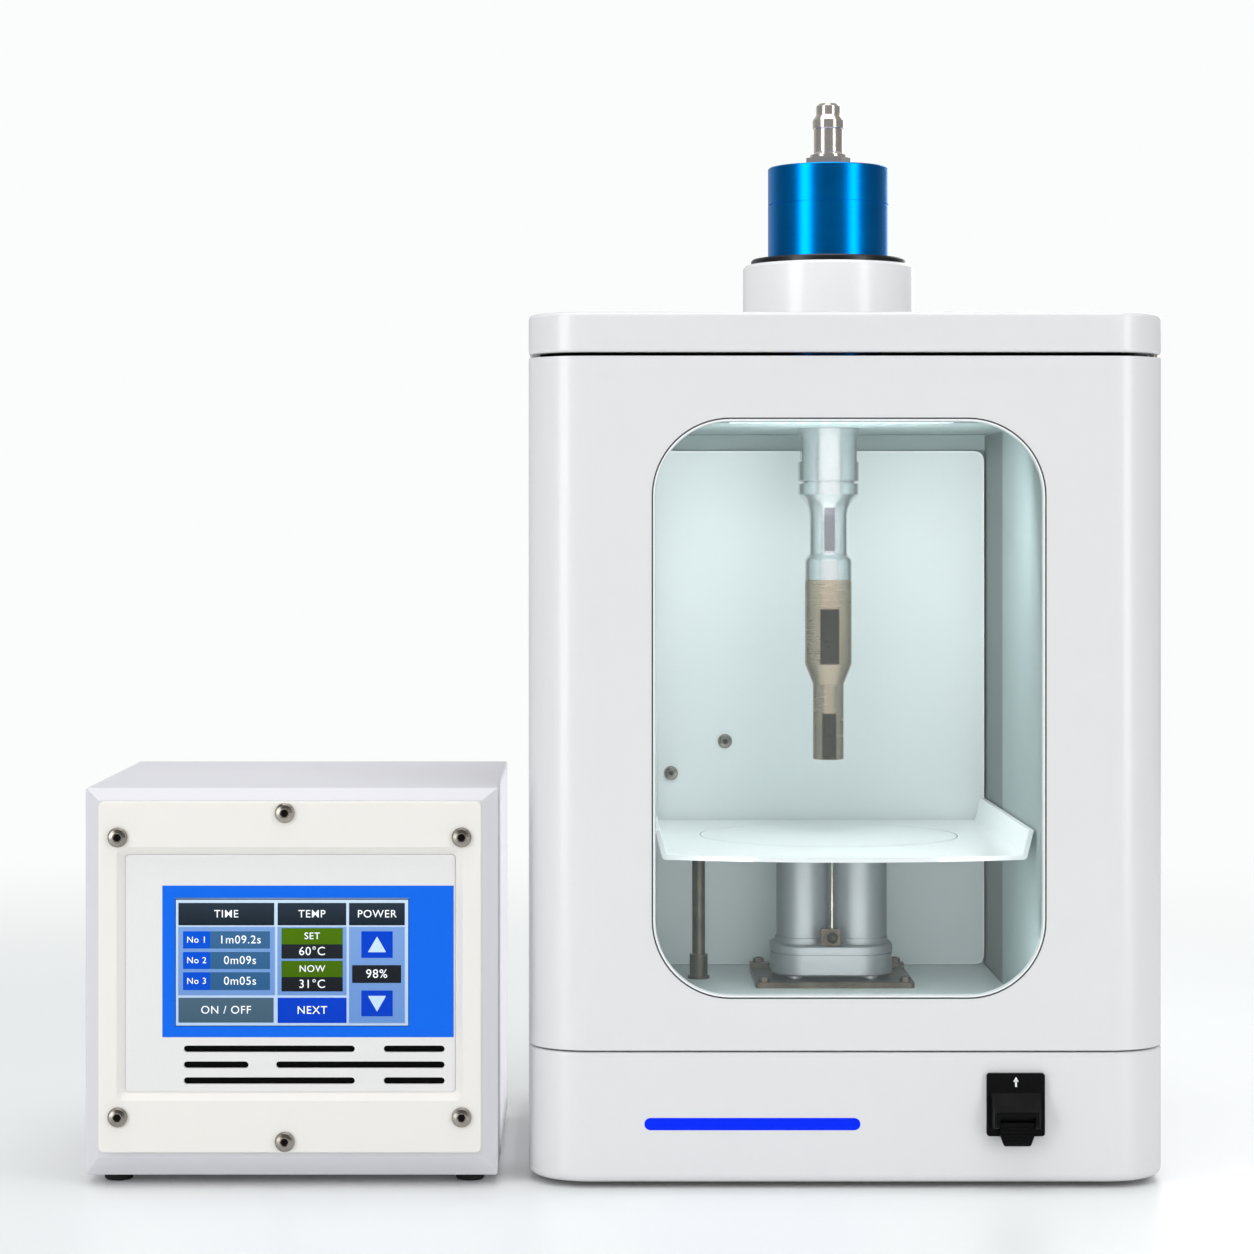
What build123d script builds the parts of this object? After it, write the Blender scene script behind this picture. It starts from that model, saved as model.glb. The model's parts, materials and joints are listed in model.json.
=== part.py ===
from build123d import *

import math
import os

os.makedirs("parts", exist_ok=True)

# A probe sonicator in two standing units, in millimetres: a generator box with a touch screen on the left,
# and on the right a sound-proof cabinet that holds the ultrasonic transducer, its probe and a lift table.
# X runs right, Y runs back and Z runs up. The front faces of both units are in line.

# Outer sizes of the cabinet
cabinet_width = 335.0
cabinet_depth = 300.0
cabinet_corner = 32.0
foot_height = 3.0
foot_radius = 14.0
foot_inset_x = 45.0
foot_inset_y = 40.0
base_height = 68.0
base_seam = 1.0
lid_seam = 1.5
lid_height = 21.0

# Outer sizes of the generator
generator_width = 216.0
generator_height = 202.8
generator_depth = 218.0
generator_foot_height = 5.2
generator_foot_radius = 7.5
generator_foot_inset = 15.0
generator_foot_front = 29.0
generator_foot_back = 17.0
unit_gap = 16.0

# Walls, rounds and clearances
base_wall = 6.0
base_deck = 3.0
body_wall = 4.0
lid_wall = 6.0
lid_top = 4.0
seam_inset = 1.5
edge_round = 1.5
base_bottom_round = 4.5
lid_top_round = 2.5
sheet = 2.0
fit = 0.1
soft_gap = 0.3
running_fit = 0.05
press_fit = 0.01

# Door and window
door_depth = 34.0
door_gap = 2.0
door_wall = 3.0
door_top_gap = 0.5
pivot_inset = 4.0
pivot_radius = 2.0
pivot_engagement = 12.0
boss_radius = 6.0
boss_shift = 4.0
plate_boss_inset = 22.0
window_width = 204.0
window_height = 301.1
window_bottom_margin = 27.8
window_top_margin = 33.6
window_corner = 40.0
pane_thickness = 3.0
pane_lap = 13.0
pane_lap_low = 7.0
gasket_width = 1.2
gasket_set_back = 0.4
seal_width = 5.0
seal_margin = 1.0

# Sample chamber, set round the window
chamber_sill = 15.8
chamber_head = 0.1
chamber_front = 10.0
chamber_back_gap = 38.0
frame_wall = 4.0
back_panel_reach = 9.0
back_panel_side_gap = 1.4
back_panel_top_gap = 9.8
back_panel_corner = 6.0
back_panel_round = 0.8
panel_screw_places = [(46.3, 133.8), (14.0, 114.7)]
panel_screw_head = 4.25
panel_screw_rise = 2.6
panel_screw_radius = 2.0
panel_screw_length = 8.0
lamp_width = 120.0
lamp_depth = 14.0
lamp_height = 10.0
lamp_back = 60.0
lamp_flange = 4.0
foam_hole_radius = 37.0

# Collar, seat ring and transducer, on an upright axis above the lift table
collar_radius = 48.2
collar_height = 36.0
collar_bore = 36.0
collar_roof = 6.0
spigot_radius = 42.0
spigot_depth = 4.0
ring_radius = 43.7
ring_height = 3.5
ring_spigot = 33.5
housing_radius = 34.1
housing_neck = 30.0
housing_bore = 26.0
housing_floor = 5.0
cap_groove = 0.6
cap_roof = 4.4
connector_hole = 8.0
connector_end_radius = 6.85
stack_radius = 22.0
ring_count = 4
piezo_thickness = 6.0
back_mass_height = 26.0
bolt_radius = 6.0
bolt_head_radius = 9.0
bolt_head_height = 11.0
bolt_engagement = 12.0
sleeve_radius = 17.3
flat_inset = 1.8
stud_radius = 5.0
stud_length = 26.0
horn_flange_radius = 17.1
neck_radius = 10.6
horn_end_radius = 13.3
waist_drop = 16.5
waist_rise = 16.3
flare_rise = 10.0
probe_flat_inset = 1.1
tip_radius = 8.7

# Heights of the transducer's parts above the seat ring's top, and their drops below it
cap_seam_rise = 30.5
housing_rise = 51.9
connector_rise = 88.5
stack_drop = 34.5
housing_drop = 56.5
flat_top_drop = 99.6
flat_bottom_drop = 114.3
sleeve_drop = 125.5
horn_drop = 126.7
horn_end_drop = 181.0
probe_flat_drop = 197.1
shoulder_drop = 228.8
taper_drop = 240.1
tip_drop = 282.7

# Lift table and its drive
table_height = 87.0
table_sheet = 2.5
table_side_gap = 1.5
flange_flare = 4.0
flange_height = 13.0
table_front = 14.0
table_bow = 18.0
table_back_gap = 5.0
disc_radius = 72.5
disc_recess = 1.5
lift_shift = 4.0
lift_back_shift = 37.0
column_spacing = 32.7
column_gap = 1.0
screw_column_radius = 15.0
motor_radius = 16.0
lift_plate_width = 90.0
lift_plate_depth = 75.0
lift_plate_thickness = 3.2
rear_bar_depth = 10.5
rear_bar_height = 2.7
nut_inset = 5.0
nut_apothem = 2.75
nut_height = 2.6
plate_bolt_radius = 1.5
gearbox_width = 69.4
gearbox_depth = 52.0
gearbox_corner = 20.0
gearbox_standoff = 1.8
gearbox_height = 12.0
gearbox_foot_radius = 4.0
gearbox_foot_inset_x = 13.0
gearbox_foot_inset_y = 10.0
cover_height = 5.0
column_flange = 4.0
ram_radius = 8.0
ram_collar = 11.5
screw_radius = 4.0
guide_shift = 72.0
guide_back_shift = 44.0
guide_radius = 3.75
guide_drop = 32.0
trip_front_shift = 18.0
trip_radius = 1.0
bracket_width = 11.0
bracket_height = 9.6
bracket_depth = 5.0

# Lift switch on the base
switch_x_shift = 86.6
switch_rise = 24.8
switch_width = 30.2
switch_height = 32.7
switch_plate_thickness = 2.5
hood_reach = 11.0
hood_width = 26.4
hood_draft = 1.3
hood_roof = 1.5
hood_bottom_rise = 4.9
hood_lip_rise = 11.2
hood_ridge_rise = 13.6
hood_top_rise = 22.4
lever_width = 17.7
lever_tip_width = 13.6
lever_gap = 0.4
lever_drop = 4.3
lever_pivot_rise = 11.2
lever_pivot_reach = 5.6
lever_reach = 9.2
lever_barrel = 2.4
pivot_pin_radius = 1.2
pivot_pin_length = 1.5
groove_count = 6
groove_pitch = 1.75
groove_width = 0.9
groove_depth = 0.5
groove_rise = 0.7

# Generator front, set inside its outline
bezel_side = 8.25
bezel_top = 6.4
bezel_low = 13.5
bezel_thickness = 4.0
bezel_ledge = 3.2
front_bevel = 7.5
bezel_corner = 3.0
recess_side = 9.6
recess_top = 23.7
recess_low = 27.1
recess_bevel = 4.0
panel_thickness = 2.0
panel_recess = 0.4
bezel_screw_inset = 10.15
bezel_screw_drop = 18.55
middle_screw_drop = 5.85
middle_screw_shift = 2.5
bezel_screw_head = 5.2
bezel_screw_rise = 2.8
bezel_screw_radius = 2.5
screen_inset = 47.9
screen_rise = 38.3
screen_width = 122.0
screen_height = 67.2
screen_border = 4.0
screen_thickness = 6.0
slot_height = 3.5
slot_pitch = 8.3
slot_drop = 11.8
slot_inset_left = 52.4
slot_inset_right = 27.4
slot_gap = 15.1
slot_gap_middle = 14.4
long_slot = 89.3
short_slot = 33.8

# Generator rear
case_wall = 2.0
rim_depth = 10.0
rear_panel_thickness = 2.0
fan_size = 60.0
fan_thickness = 15.0
fan_bore = 28.6
fan_hole_spread = 25.0
fan_hole_radius = 2.0
fan_hub_radius = 13.0
fan_tip_radius = 27.6
fan_shaft_radius = 1.5
fan_strut_width = 3.5
fan_strut_thickness = 2.5
fan_blade_count = 7
fan_inset = 50.0
fan_rise = 134.8
blade_root_pitch = 48.0
blade_tip_pitch = 28.0
blade_thickness = 1.3
blade_chord = 14.0
guard_inner = 9.0
guard_pitch = 6.0
guard_ring_count = 4
guard_wire = 1.6
spoke_length = 26.6
spoke_middle = 18.3
inlet_inset = 46.0
inlet_rise = 54.8
inlet_width = 27.0
inlet_height = 47.0
inlet_depth = 22.0
inlet_flange = 3.0
rocker_tilt = 8.0
socket_radius = 9.0
socket_reach = 12.0
cabinet_socket_shift = 60.0
cabinet_socket_rise = 37.0
generator_socket_shift = 20.0

# Power board in the generator
board_side_gap = 28.0
board_front_gap = 35.0
board_back_gap = 33.0
board_standoff = 8.0
board_thickness = 1.6
board_post_inset = 7.0
board_post_radius = 3.5
transformer_width = 46.0
transformer_depth = 38.0
transformer_height = 34.0
capacitor_count = 3
capacitor_radius = 9.0
capacitor_height = 30.0
capacitor_pitch = 20.0
board_part_shift = 48.0
board_part_spread = 30.0
sink_shift = 42.0
sink_width = 60.0
sink_length = 90.0
sink_height = 32.0
sink_base = 5.0
sink_fin_count = 10
sink_fin = 1.6

# Places worked out from the sizes above
total_width = generator_width + unit_gap + cabinet_width
cabinet_x = total_width / 2 - cabinet_width / 2
generator_x = generator_width / 2 - total_width / 2
front_y = hood_reach - (hood_reach + cabinet_depth + socket_reach) / 2
cabinet_middle = cabinet_depth / 2
base_top = foot_height + base_height
body_bottom = base_top + base_seam
body_height = window_bottom_margin + window_height + window_top_margin
body_top = body_bottom + body_height
lid_bottom = body_top + lid_seam
lid_surface = lid_bottom + lid_height
body_front = door_depth + door_gap
pivot_x = cabinet_x + cabinet_width / 2 - pivot_inset
pivot_depth = door_depth - pivot_inset
window_bottom = body_bottom + window_bottom_margin
window_top = window_bottom + window_height
chamber_width = window_width
chamber_bottom = window_bottom - chamber_sill
chamber_top = window_top + chamber_head
chamber_height = chamber_top - chamber_bottom
chamber_middle = (chamber_top + chamber_bottom) / 2
chamber_back = cabinet_depth - chamber_back_gap
back_panel_front = chamber_back - back_panel_reach
back_panel_width = chamber_width - 2 * back_panel_side_gap
back_panel_top = chamber_top - back_panel_top_gap
collar_top = lid_surface + collar_height
ring_top = collar_top + ring_height
probe_depth = cabinet_middle
cap_seam = ring_top + cap_seam_rise
housing_top = ring_top + housing_rise
connector_top = ring_top + connector_rise
stack_bottom = ring_top - stack_drop
housing_bottom = ring_top - housing_drop
flat_top = ring_top - flat_top_drop
flat_bottom = ring_top - flat_bottom_drop
sleeve_bottom = ring_top - sleeve_drop
horn_top = ring_top - horn_drop
horn_bottom = ring_top - horn_end_drop
probe_flat_top = ring_top - probe_flat_drop
shoulder_bottom = ring_top - shoulder_drop
taper_bottom = ring_top - taper_drop
tip_bottom = ring_top - tip_drop
table_top = chamber_bottom + table_height
table_under = table_top - table_sheet
table_reach = chamber_width / 2 - table_side_gap
table_half_width = table_reach - flange_flare
table_back = back_panel_front - table_back_gap
column_top = table_under - column_gap
lift_x = cabinet_x + lift_shift
lift_depth = probe_depth + lift_back_shift
screw_x = lift_x - column_spacing / 2
motor_x = lift_x + column_spacing / 2
guide_depth = probe_depth + guide_back_shift
trip_depth = lift_depth - trip_front_shift
switch_x = cabinet_x + switch_x_shift
switch_bottom = foot_height + switch_rise
hood_bottom = switch_bottom + hood_bottom_rise
hood_lip = switch_bottom + hood_lip_rise
hood_ridge = switch_bottom + hood_ridge_rise
hood_top = switch_bottom + hood_top_rise
lever_bottom = switch_bottom - lever_drop
lever_pivot = switch_bottom + lever_pivot_rise
bezel_width = generator_width - 2 * bezel_side
bezel_height = generator_height - bezel_top - bezel_low
bezel_bottom = generator_foot_height + bezel_low
bezel_middle = bezel_bottom + bezel_height / 2
recess_width = bezel_width - 2 * recess_side
recess_height = bezel_height - recess_top - recess_low
recess_bottom = bezel_bottom + recess_low
recess_middle = recess_bottom + recess_height / 2
screw_spread_x = bezel_width / 2 - bezel_screw_inset
screw_spread_z = bezel_height / 2 - bezel_screw_drop
middle_screw_spread_z = bezel_height / 2 - middle_screw_drop
screen_left = generator_x - generator_width / 2 + screen_inset
screen_bottom = recess_bottom + screen_rise
slot_top = screen_bottom - slot_drop
slot_left = generator_x - generator_width / 2 + slot_inset_left
slot_right = generator_x + generator_width / 2 - slot_inset_right
fan_x = generator_x - generator_width / 2 + fan_inset
fan_z = generator_foot_height + fan_rise
inlet_x = generator_x + generator_width / 2 - inlet_inset
inlet_z = generator_foot_height + inlet_rise
cabinet_socket_x = cabinet_x + cabinet_socket_shift
cabinet_socket_z = foot_height + cabinet_socket_rise
generator_socket_x = generator_x + generator_socket_shift


def level(x, depth, z):
    """A plane facing up, at a depth behind the front faces."""
    return Plane((x, front_y + depth, z))


def upright(x, depth, z):
    """A plane facing the viewer: its x runs right and its y runs up, and a negative extrusion goes back."""
    return Plane((x, front_y + depth, z), x_dir=(1, 0, 0), z_dir=(0, -1, 0))


def sideways(x, depth, z):
    """A plane facing right: its x runs back and its y runs up."""
    return Plane((x, front_y + depth, z), x_dir=(0, 1, 0), z_dir=(1, 0, 0))


def block(width, depth, height, at, radius=0.0, mode=Mode.ADD):
    """A prism on a plane, with rounded corners where a radius is given."""
    with BuildSketch(at) as outline:
        if radius > 0:
            RectangleRounded(width, depth, radius)
        else:
            Rectangle(width, depth)
    extrude(outline.sketch, amount=height, mode=mode)


def disc(radius, height, at, mode=Mode.ADD):
    """A round prism on a plane."""
    with BuildSketch(at) as outline:
        Circle(radius)
    extrude(outline.sketch, amount=height, mode=mode)


def turned(section, x, depth, mode=Mode.ADD):
    """A solid of revolution about an upright axis, from a closed section of radius and height."""
    with BuildSketch(upright(x, depth, 0)) as half:
        with BuildLine():
            Polyline(*section, close=True)
        make_face()
    revolve(half.sketch, axis=Axis((x, front_y + depth, 0), (0, 0, 1)), mode=mode)


def turned_back(section, x, depth, z, mode=Mode.ADD):
    """A solid of revolution about an axis that runs back, from a closed section of radius and depth."""
    with BuildSketch(level(x, depth, z)) as half:
        with BuildLine():
            Polyline(*section, close=True)
        make_face()
    revolve(half.sketch, axis=Axis((x, front_y + depth, z), (0, 1, 0)), mode=mode)


def cabinet_outline(inset, front):
    """Plan of the cabinet drawn in by an inset and cut off in front of a depth."""
    with BuildSketch(Plane.XY) as plan:
        RectangleRounded(
            cabinet_width - 2 * inset, cabinet_depth - 2 * inset, cabinet_corner - inset
        )
        if front > inset:
            with Locations((0, (front - cabinet_depth) / 2)):
                Rectangle(cabinet_width, front, mode=Mode.SUBTRACT)
    return plan.sketch


def cabinet_prism(inset, front, z, height, mode=Mode.ADD):
    """A prism with the cabinet's plan, or the part of that plan behind a depth."""
    with BuildSketch(level(cabinet_x, cabinet_middle, z)) as plan:
        add(cabinet_outline(inset, front))
    extrude(plan.sketch, amount=height, mode=mode)


def button_screw(x, depth, z, head_radius, head_height, shank_radius, shank_length):
    """A button head socket screw driven in from the front."""
    section = [
        (0, -head_height),
        (0.5 * head_radius, -head_height),
        (0.82 * head_radius, -0.78 * head_height),
        (head_radius, -0.3 * head_height),
        (head_radius, 0),
        (shank_radius, 0),
        (shank_radius, shank_length),
        (0, shank_length),
    ]
    turned_back(section, x, depth, z)
    with BuildSketch(upright(x, depth - head_height, z)) as socket:
        RegularPolygon(0.44 * head_radius, 6)
    extrude(socket.sketch, amount=-0.7 * head_height, mode=Mode.SUBTRACT)


def save(builder, name):
    """Label a finished piece and write its file."""
    builder.part.label = name
    export_step(builder.part, f"parts/{name}.step")


# Cabinet base: a moulded tub that is open underneath, with a raised pad that the body stands on
with BuildPart() as cabinet_base:
    cabinet_prism(0, 0, foot_height, base_height)
    fillet(cabinet_base.edges().group_by(Axis.Z)[0], base_bottom_round)
    fillet(cabinet_base.edges().group_by(Axis.Z)[-1], edge_round)
    cabinet_prism(base_wall, 0, foot_height, base_height - base_deck, mode=Mode.SUBTRACT)
    cabinet_prism(seam_inset, body_front, base_top, base_seam)
    disc(boss_radius, -pivot_engagement, level(pivot_x - boss_shift, pivot_depth, base_top - base_deck))
    disc(
        pivot_radius + press_fit,
        -pivot_engagement,
        level(pivot_x, pivot_depth, base_top),
        mode=Mode.SUBTRACT,
    )
    guide_hole_radius = guide_radius + 1.0
    disc(
        guide_hole_radius,
        base_deck + base_seam,
        level(cabinet_x - guide_shift, guide_depth, base_top - base_deck),
        mode=Mode.SUBTRACT,
    )
    plate_boss_x = cabinet_width / 2 - base_wall - plate_boss_inset
    plate_boss_y = cabinet_depth / 2 - base_wall - plate_boss_inset
    with BuildSketch(level(cabinet_x, cabinet_middle, base_top - base_deck)):
        with GridLocations(2 * plate_boss_x, 2 * plate_boss_y, 2, 2):
            Circle(boss_radius)
    extrude(amount=-(base_height - base_deck - sheet))
    block(
        lever_width + 4,
        hood_top - hood_bottom - 4,
        -base_wall,
        upright(switch_x, 0, (hood_top + hood_bottom) / 2),
        mode=Mode.SUBTRACT,
    )
    disc(
        socket_radius - 1,
        -base_wall,
        upright(cabinet_socket_x, cabinet_depth - base_wall, cabinet_socket_z),
        mode=Mode.SUBTRACT,
    )
save(cabinet_base, "cabinet_base")

# Bottom plate, let into the base between its walls and screwed to the four bosses
with BuildPart() as base_bottom_plate:
    cabinet_prism(base_wall + fit, 0, foot_height, sheet)
save(base_bottom_plate, "base_bottom_plate")

with BuildPart() as cabinet_feet:
    with BuildSketch(level(cabinet_x, cabinet_middle, 0)):
        with GridLocations(cabinet_width - 2 * foot_inset_x, cabinet_depth - 2 * foot_inset_y, 2, 2):
            Circle(foot_radius)
    extrude(amount=foot_height)
    chamfer(cabinet_feet.edges().group_by(Axis.Z)[0], 0.6)
save(cabinet_feet, "cabinet_feet")

# Body: side and back walls in one wrapped shell
with BuildPart() as cabinet_body:
    cabinet_prism(0, body_front, body_bottom, body_height)
    cabinet_prism(body_wall, 0, body_bottom, body_height, mode=Mode.SUBTRACT)
save(cabinet_body, "cabinet_body")

# Lid: a shallow cap with a ring underneath that stands on the body, and a hole for the collar
with BuildPart() as cabinet_lid:
    cabinet_prism(0, 0, lid_bottom, lid_height)
    fillet(cabinet_lid.edges().group_by(Axis.Z)[0], edge_round)
    fillet(cabinet_lid.edges().group_by(Axis.Z)[-1], lid_top_round)
    cabinet_prism(lid_wall, 0, lid_bottom, lid_height - lid_top, mode=Mode.SUBTRACT)
    with BuildSketch(level(cabinet_x, cabinet_middle, body_top)):
        add(cabinet_outline(seam_inset, body_front))
        add(cabinet_outline(lid_wall, 0), mode=Mode.SUBTRACT)
    extrude(amount=lid_seam)
    disc(boss_radius, lid_height - lid_top, level(pivot_x - boss_shift, pivot_depth, lid_bottom))
    disc(
        pivot_radius + press_fit,
        pivot_engagement,
        level(pivot_x, pivot_depth, lid_bottom),
        mode=Mode.SUBTRACT,
    )
    disc(
        spigot_radius + fit,
        -lid_top,
        level(cabinet_x, probe_depth, lid_surface),
        mode=Mode.SUBTRACT,
    )
save(cabinet_lid, "cabinet_lid")

# Collar on the lid, hollow below its roof, with a spigot in the lid's hole
with BuildPart() as lid_collar:
    collar_section = [
        (ring_spigot + fit, collar_top),
        (collar_radius - edge_round, collar_top),
        (collar_radius, collar_top - edge_round),
        (collar_radius, lid_surface),
        (spigot_radius, lid_surface),
        (spigot_radius, lid_surface - spigot_depth),
        (collar_bore, lid_surface - spigot_depth),
        (collar_bore, collar_top - collar_roof),
        (ring_spigot + fit, collar_top - collar_roof),
    ]
    turned(collar_section, cabinet_x, probe_depth)
save(lid_collar, "lid_collar")

# Black ring that centres the transducer and carries its shoulder
with BuildPart() as seat_ring:
    ring_section = [
        (housing_neck + fit, ring_top),
        (ring_radius - 0.8, ring_top),
        (ring_radius, ring_top - 0.8),
        (ring_radius, collar_top),
        (ring_spigot, collar_top),
        (ring_spigot, collar_top - collar_roof),
        (housing_neck + fit, collar_top - collar_roof),
    ]
    turned(ring_section, cabinet_x, probe_depth)
save(seat_ring, "seat_ring")

# Chamber frame: a plate across the body's front, with a nose round the sample chamber that the door closes on
nose_width = chamber_width + 2 * (sheet + frame_wall)
nose_height = chamber_height + 2 * (sheet + frame_wall)
with BuildPart() as chamber_frame:
    block(
        cabinet_width - 2 * body_wall - 2 * fit,
        body_height - 2 * fit,
        -sheet,
        upright(cabinet_x, body_front, body_bottom + body_height / 2),
    )
    block(nose_width, nose_height, body_front - chamber_front, upright(cabinet_x, body_front, chamber_middle))
    block(
        chamber_width + 2 * sheet,
        chamber_height + 2 * sheet,
        -body_front,
        upright(cabinet_x, chamber_front + sheet, chamber_middle),
        mode=Mode.SUBTRACT,
    )
    block(
        chamber_width,
        chamber_height,
        -sheet,
        upright(cabinet_x, chamber_front, chamber_middle),
        mode=Mode.SUBTRACT,
    )
save(chamber_frame, "chamber_frame")

# Chamber lining: separate painted sheets
liner_front = chamber_front + sheet
liner_length = chamber_back - liner_front
with BuildPart() as chamber_walls:
    with BuildSketch(level(cabinet_x, liner_front + liner_length / 2, chamber_bottom)):
        with GridLocations(chamber_width + sheet, 0, 2, 1):
            Rectangle(sheet, liner_length)
    extrude(amount=chamber_height)
    block(
        chamber_width + 2 * sheet,
        chamber_height,
        -sheet,
        upright(cabinet_x, chamber_back, chamber_middle),
    )
save(chamber_walls, "chamber_walls")

# Back panel: a shallow tray with rounded corners, screwed over the rear wall
panel_height = back_panel_top - chamber_bottom - soft_gap
with BuildPart() as chamber_back_panel:
    panel_plane_z = chamber_bottom + soft_gap + panel_height / 2
    block(
        back_panel_width,
        panel_height,
        -back_panel_reach,
        upright(cabinet_x, back_panel_front, panel_plane_z),
        back_panel_corner,
    )
    block(
        back_panel_width - 2 * sheet,
        panel_height - 2 * sheet,
        -back_panel_reach,
        upright(cabinet_x, back_panel_front + sheet, panel_plane_z),
        back_panel_corner - sheet,
        mode=Mode.SUBTRACT,
    )
    front_edges = chamber_back_panel.edges().group_by(Axis.Y)[0]
    fillet(front_edges, back_panel_round)
    panel_left = cabinet_x - back_panel_width / 2
    for inset, rise in panel_screw_places:
        disc(
            panel_screw_radius + fit,
            -sheet,
            upright(panel_left + inset, back_panel_front, chamber_bottom + rise),
            mode=Mode.SUBTRACT,
        )
save(chamber_back_panel, "chamber_back_panel")

with BuildPart() as back_panel_screws:
    for inset, rise in panel_screw_places:
        button_screw(
            panel_left + inset,
            back_panel_front,
            chamber_bottom + rise,
            panel_screw_head,
            panel_screw_rise,
            panel_screw_radius,
            panel_screw_length,
        )
save(back_panel_screws, "back_panel_screws")

# Ceiling sheet with a hole for the horn and a slot for the lamp
with BuildPart() as chamber_ceiling:
    block(
        chamber_width + 2 * sheet,
        liner_length + sheet,
        sheet,
        level(cabinet_x, liner_front + (liner_length + sheet) / 2, chamber_top),
    )
    disc(sleeve_radius + 1.2, sheet, level(cabinet_x, probe_depth, chamber_top), mode=Mode.SUBTRACT)
    block(
        lamp_width + 2 * fit,
        lamp_depth + 2 * fit,
        sheet,
        level(cabinet_x, lamp_back - lamp_depth / 2, chamber_top),
        mode=Mode.SUBTRACT,
    )
save(chamber_ceiling, "chamber_ceiling")

with BuildPart() as chamber_lamp:
    block(lamp_width, lamp_depth, lamp_height, level(cabinet_x, lamp_back - lamp_depth / 2, chamber_top))
    block(
        lamp_width + 2 * lamp_flange,
        lamp_depth + 2 * lamp_flange,
        sheet,
        level(cabinet_x, lamp_back - lamp_depth / 2, chamber_top + sheet),
    )
save(chamber_lamp, "chamber_lamp")

# Floor tray, with flanges that stand on the base's pad and a hole for the guide rod's bush
bush_neck = guide_radius + 0.9
with BuildPart() as chamber_floor:
    block(
        chamber_width + 2 * sheet,
        liner_length + sheet,
        -sheet,
        level(cabinet_x, liner_front + (liner_length + sheet) / 2, chamber_bottom),
    )
    with BuildSketch(level(cabinet_x, (body_front + sheet + chamber_back) / 2, body_bottom)):
        with GridLocations(chamber_width + sheet, 0, 2, 1):
            Rectangle(sheet, chamber_back - body_front - sheet)
    extrude(amount=chamber_bottom - sheet - body_bottom)
    disc(
        bush_neck + fit,
        -sheet,
        level(cabinet_x - guide_shift, guide_depth, chamber_bottom),
        mode=Mode.SUBTRACT,
    )
save(chamber_floor, "chamber_floor")

# Acoustic foam round the lining, cut to clear the transducer and the lamp
foam_bottom = body_bottom + soft_gap
foam_front = body_front + sheet + soft_gap
with BuildPart() as acoustic_foam:
    cabinet_prism(body_wall + soft_gap, foam_front, foam_bottom, body_height - 2 * soft_gap)
    block(
        chamber_width + 2 * (sheet + soft_gap),
        chamber_back + sheet + soft_gap,
        chamber_top + sheet + soft_gap - foam_bottom,
        level(cabinet_x, (chamber_back + sheet + soft_gap) / 2, foam_bottom),
        mode=Mode.SUBTRACT,
    )
    disc(
        foam_hole_radius,
        body_top - chamber_top,
        level(cabinet_x, probe_depth, chamber_top),
        mode=Mode.SUBTRACT,
    )
    block(
        lamp_width + 2 * (lamp_flange + soft_gap),
        lamp_back + lamp_flange + soft_gap,
        lamp_height + soft_gap,
        level(cabinet_x, (lamp_back + lamp_flange + soft_gap) / 2, chamber_top),
        mode=Mode.SUBTRACT,
    )
save(acoustic_foam, "acoustic_foam")

# Hinge pins, pressed in the base and the lid
with BuildPart() as hinge_pins:
    disc(
        pivot_radius,
        2 * pivot_engagement - 1 + base_seam,
        level(pivot_x, pivot_depth, base_top - pivot_engagement),
    )
    disc(
        pivot_radius,
        -2 * pivot_engagement + 1 - lid_seam,
        level(pivot_x, pivot_depth, lid_bottom + pivot_engagement),
    )
save(hinge_pins, "hinge_pins")

# Front door: a deep cap that wraps round both front corners, open at the back
door_height = body_height - door_top_gap
with BuildPart() as front_door:
    with BuildSketch(level(cabinet_x, cabinet_middle, body_bottom)):
        add(cabinet_outline(0, 0))
        with Locations((0, door_depth / 2)):
            Rectangle(cabinet_width, cabinet_depth - door_depth, mode=Mode.SUBTRACT)
    extrude(amount=door_height)
    with BuildSketch(level(cabinet_x, cabinet_middle, body_bottom + door_wall)):
        add(cabinet_outline(door_wall, 0))
        with Locations((0, door_depth / 2)):
            Rectangle(cabinet_width, cabinet_depth - door_depth, mode=Mode.SUBTRACT)
    extrude(amount=door_height - 2 * door_wall, mode=Mode.SUBTRACT)
    disc(pivot_inset, door_wall + pivot_engagement, level(pivot_x, pivot_depth, body_bottom))
    disc(
        pivot_inset,
        -door_wall - pivot_engagement,
        level(pivot_x, pivot_depth, body_bottom + door_height),
    )
    disc(
        pivot_radius + running_fit,
        pivot_engagement,
        level(pivot_x, pivot_depth, body_bottom),
        mode=Mode.SUBTRACT,
    )
    disc(
        pivot_radius + running_fit,
        -pivot_engagement,
        level(pivot_x, pivot_depth, body_bottom + door_height),
        mode=Mode.SUBTRACT,
    )
    block(
        window_width,
        window_height,
        -door_wall,
        upright(cabinet_x, 0, window_bottom + window_height / 2),
        window_corner,
        mode=Mode.SUBTRACT,
    )
save(front_door, "front_door")

# Window pane behind the door's skin, its trim, and the seal that closes on the chamber frame's nose
pane_bottom = chamber_bottom - pane_lap_low
pane_height = window_top + pane_lap - pane_bottom
with BuildPart() as door_window:
    block(
        window_width + 2 * pane_lap,
        pane_height,
        -pane_thickness,
        upright(cabinet_x, door_wall, pane_bottom + pane_height / 2),
        back_panel_corner,
    )
save(door_window, "door_window")

with BuildPart() as window_gasket:
    gasket_plane = upright(cabinet_x, gasket_set_back, window_bottom + window_height / 2)
    block(window_width, window_height, gasket_set_back - door_wall, gasket_plane, window_corner)
    block(
        window_width - 2 * gasket_width,
        window_height - 2 * gasket_width,
        gasket_set_back - door_wall,
        gasket_plane,
        window_corner - gasket_width,
        mode=Mode.SUBTRACT,
    )
save(window_gasket, "window_gasket")

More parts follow.
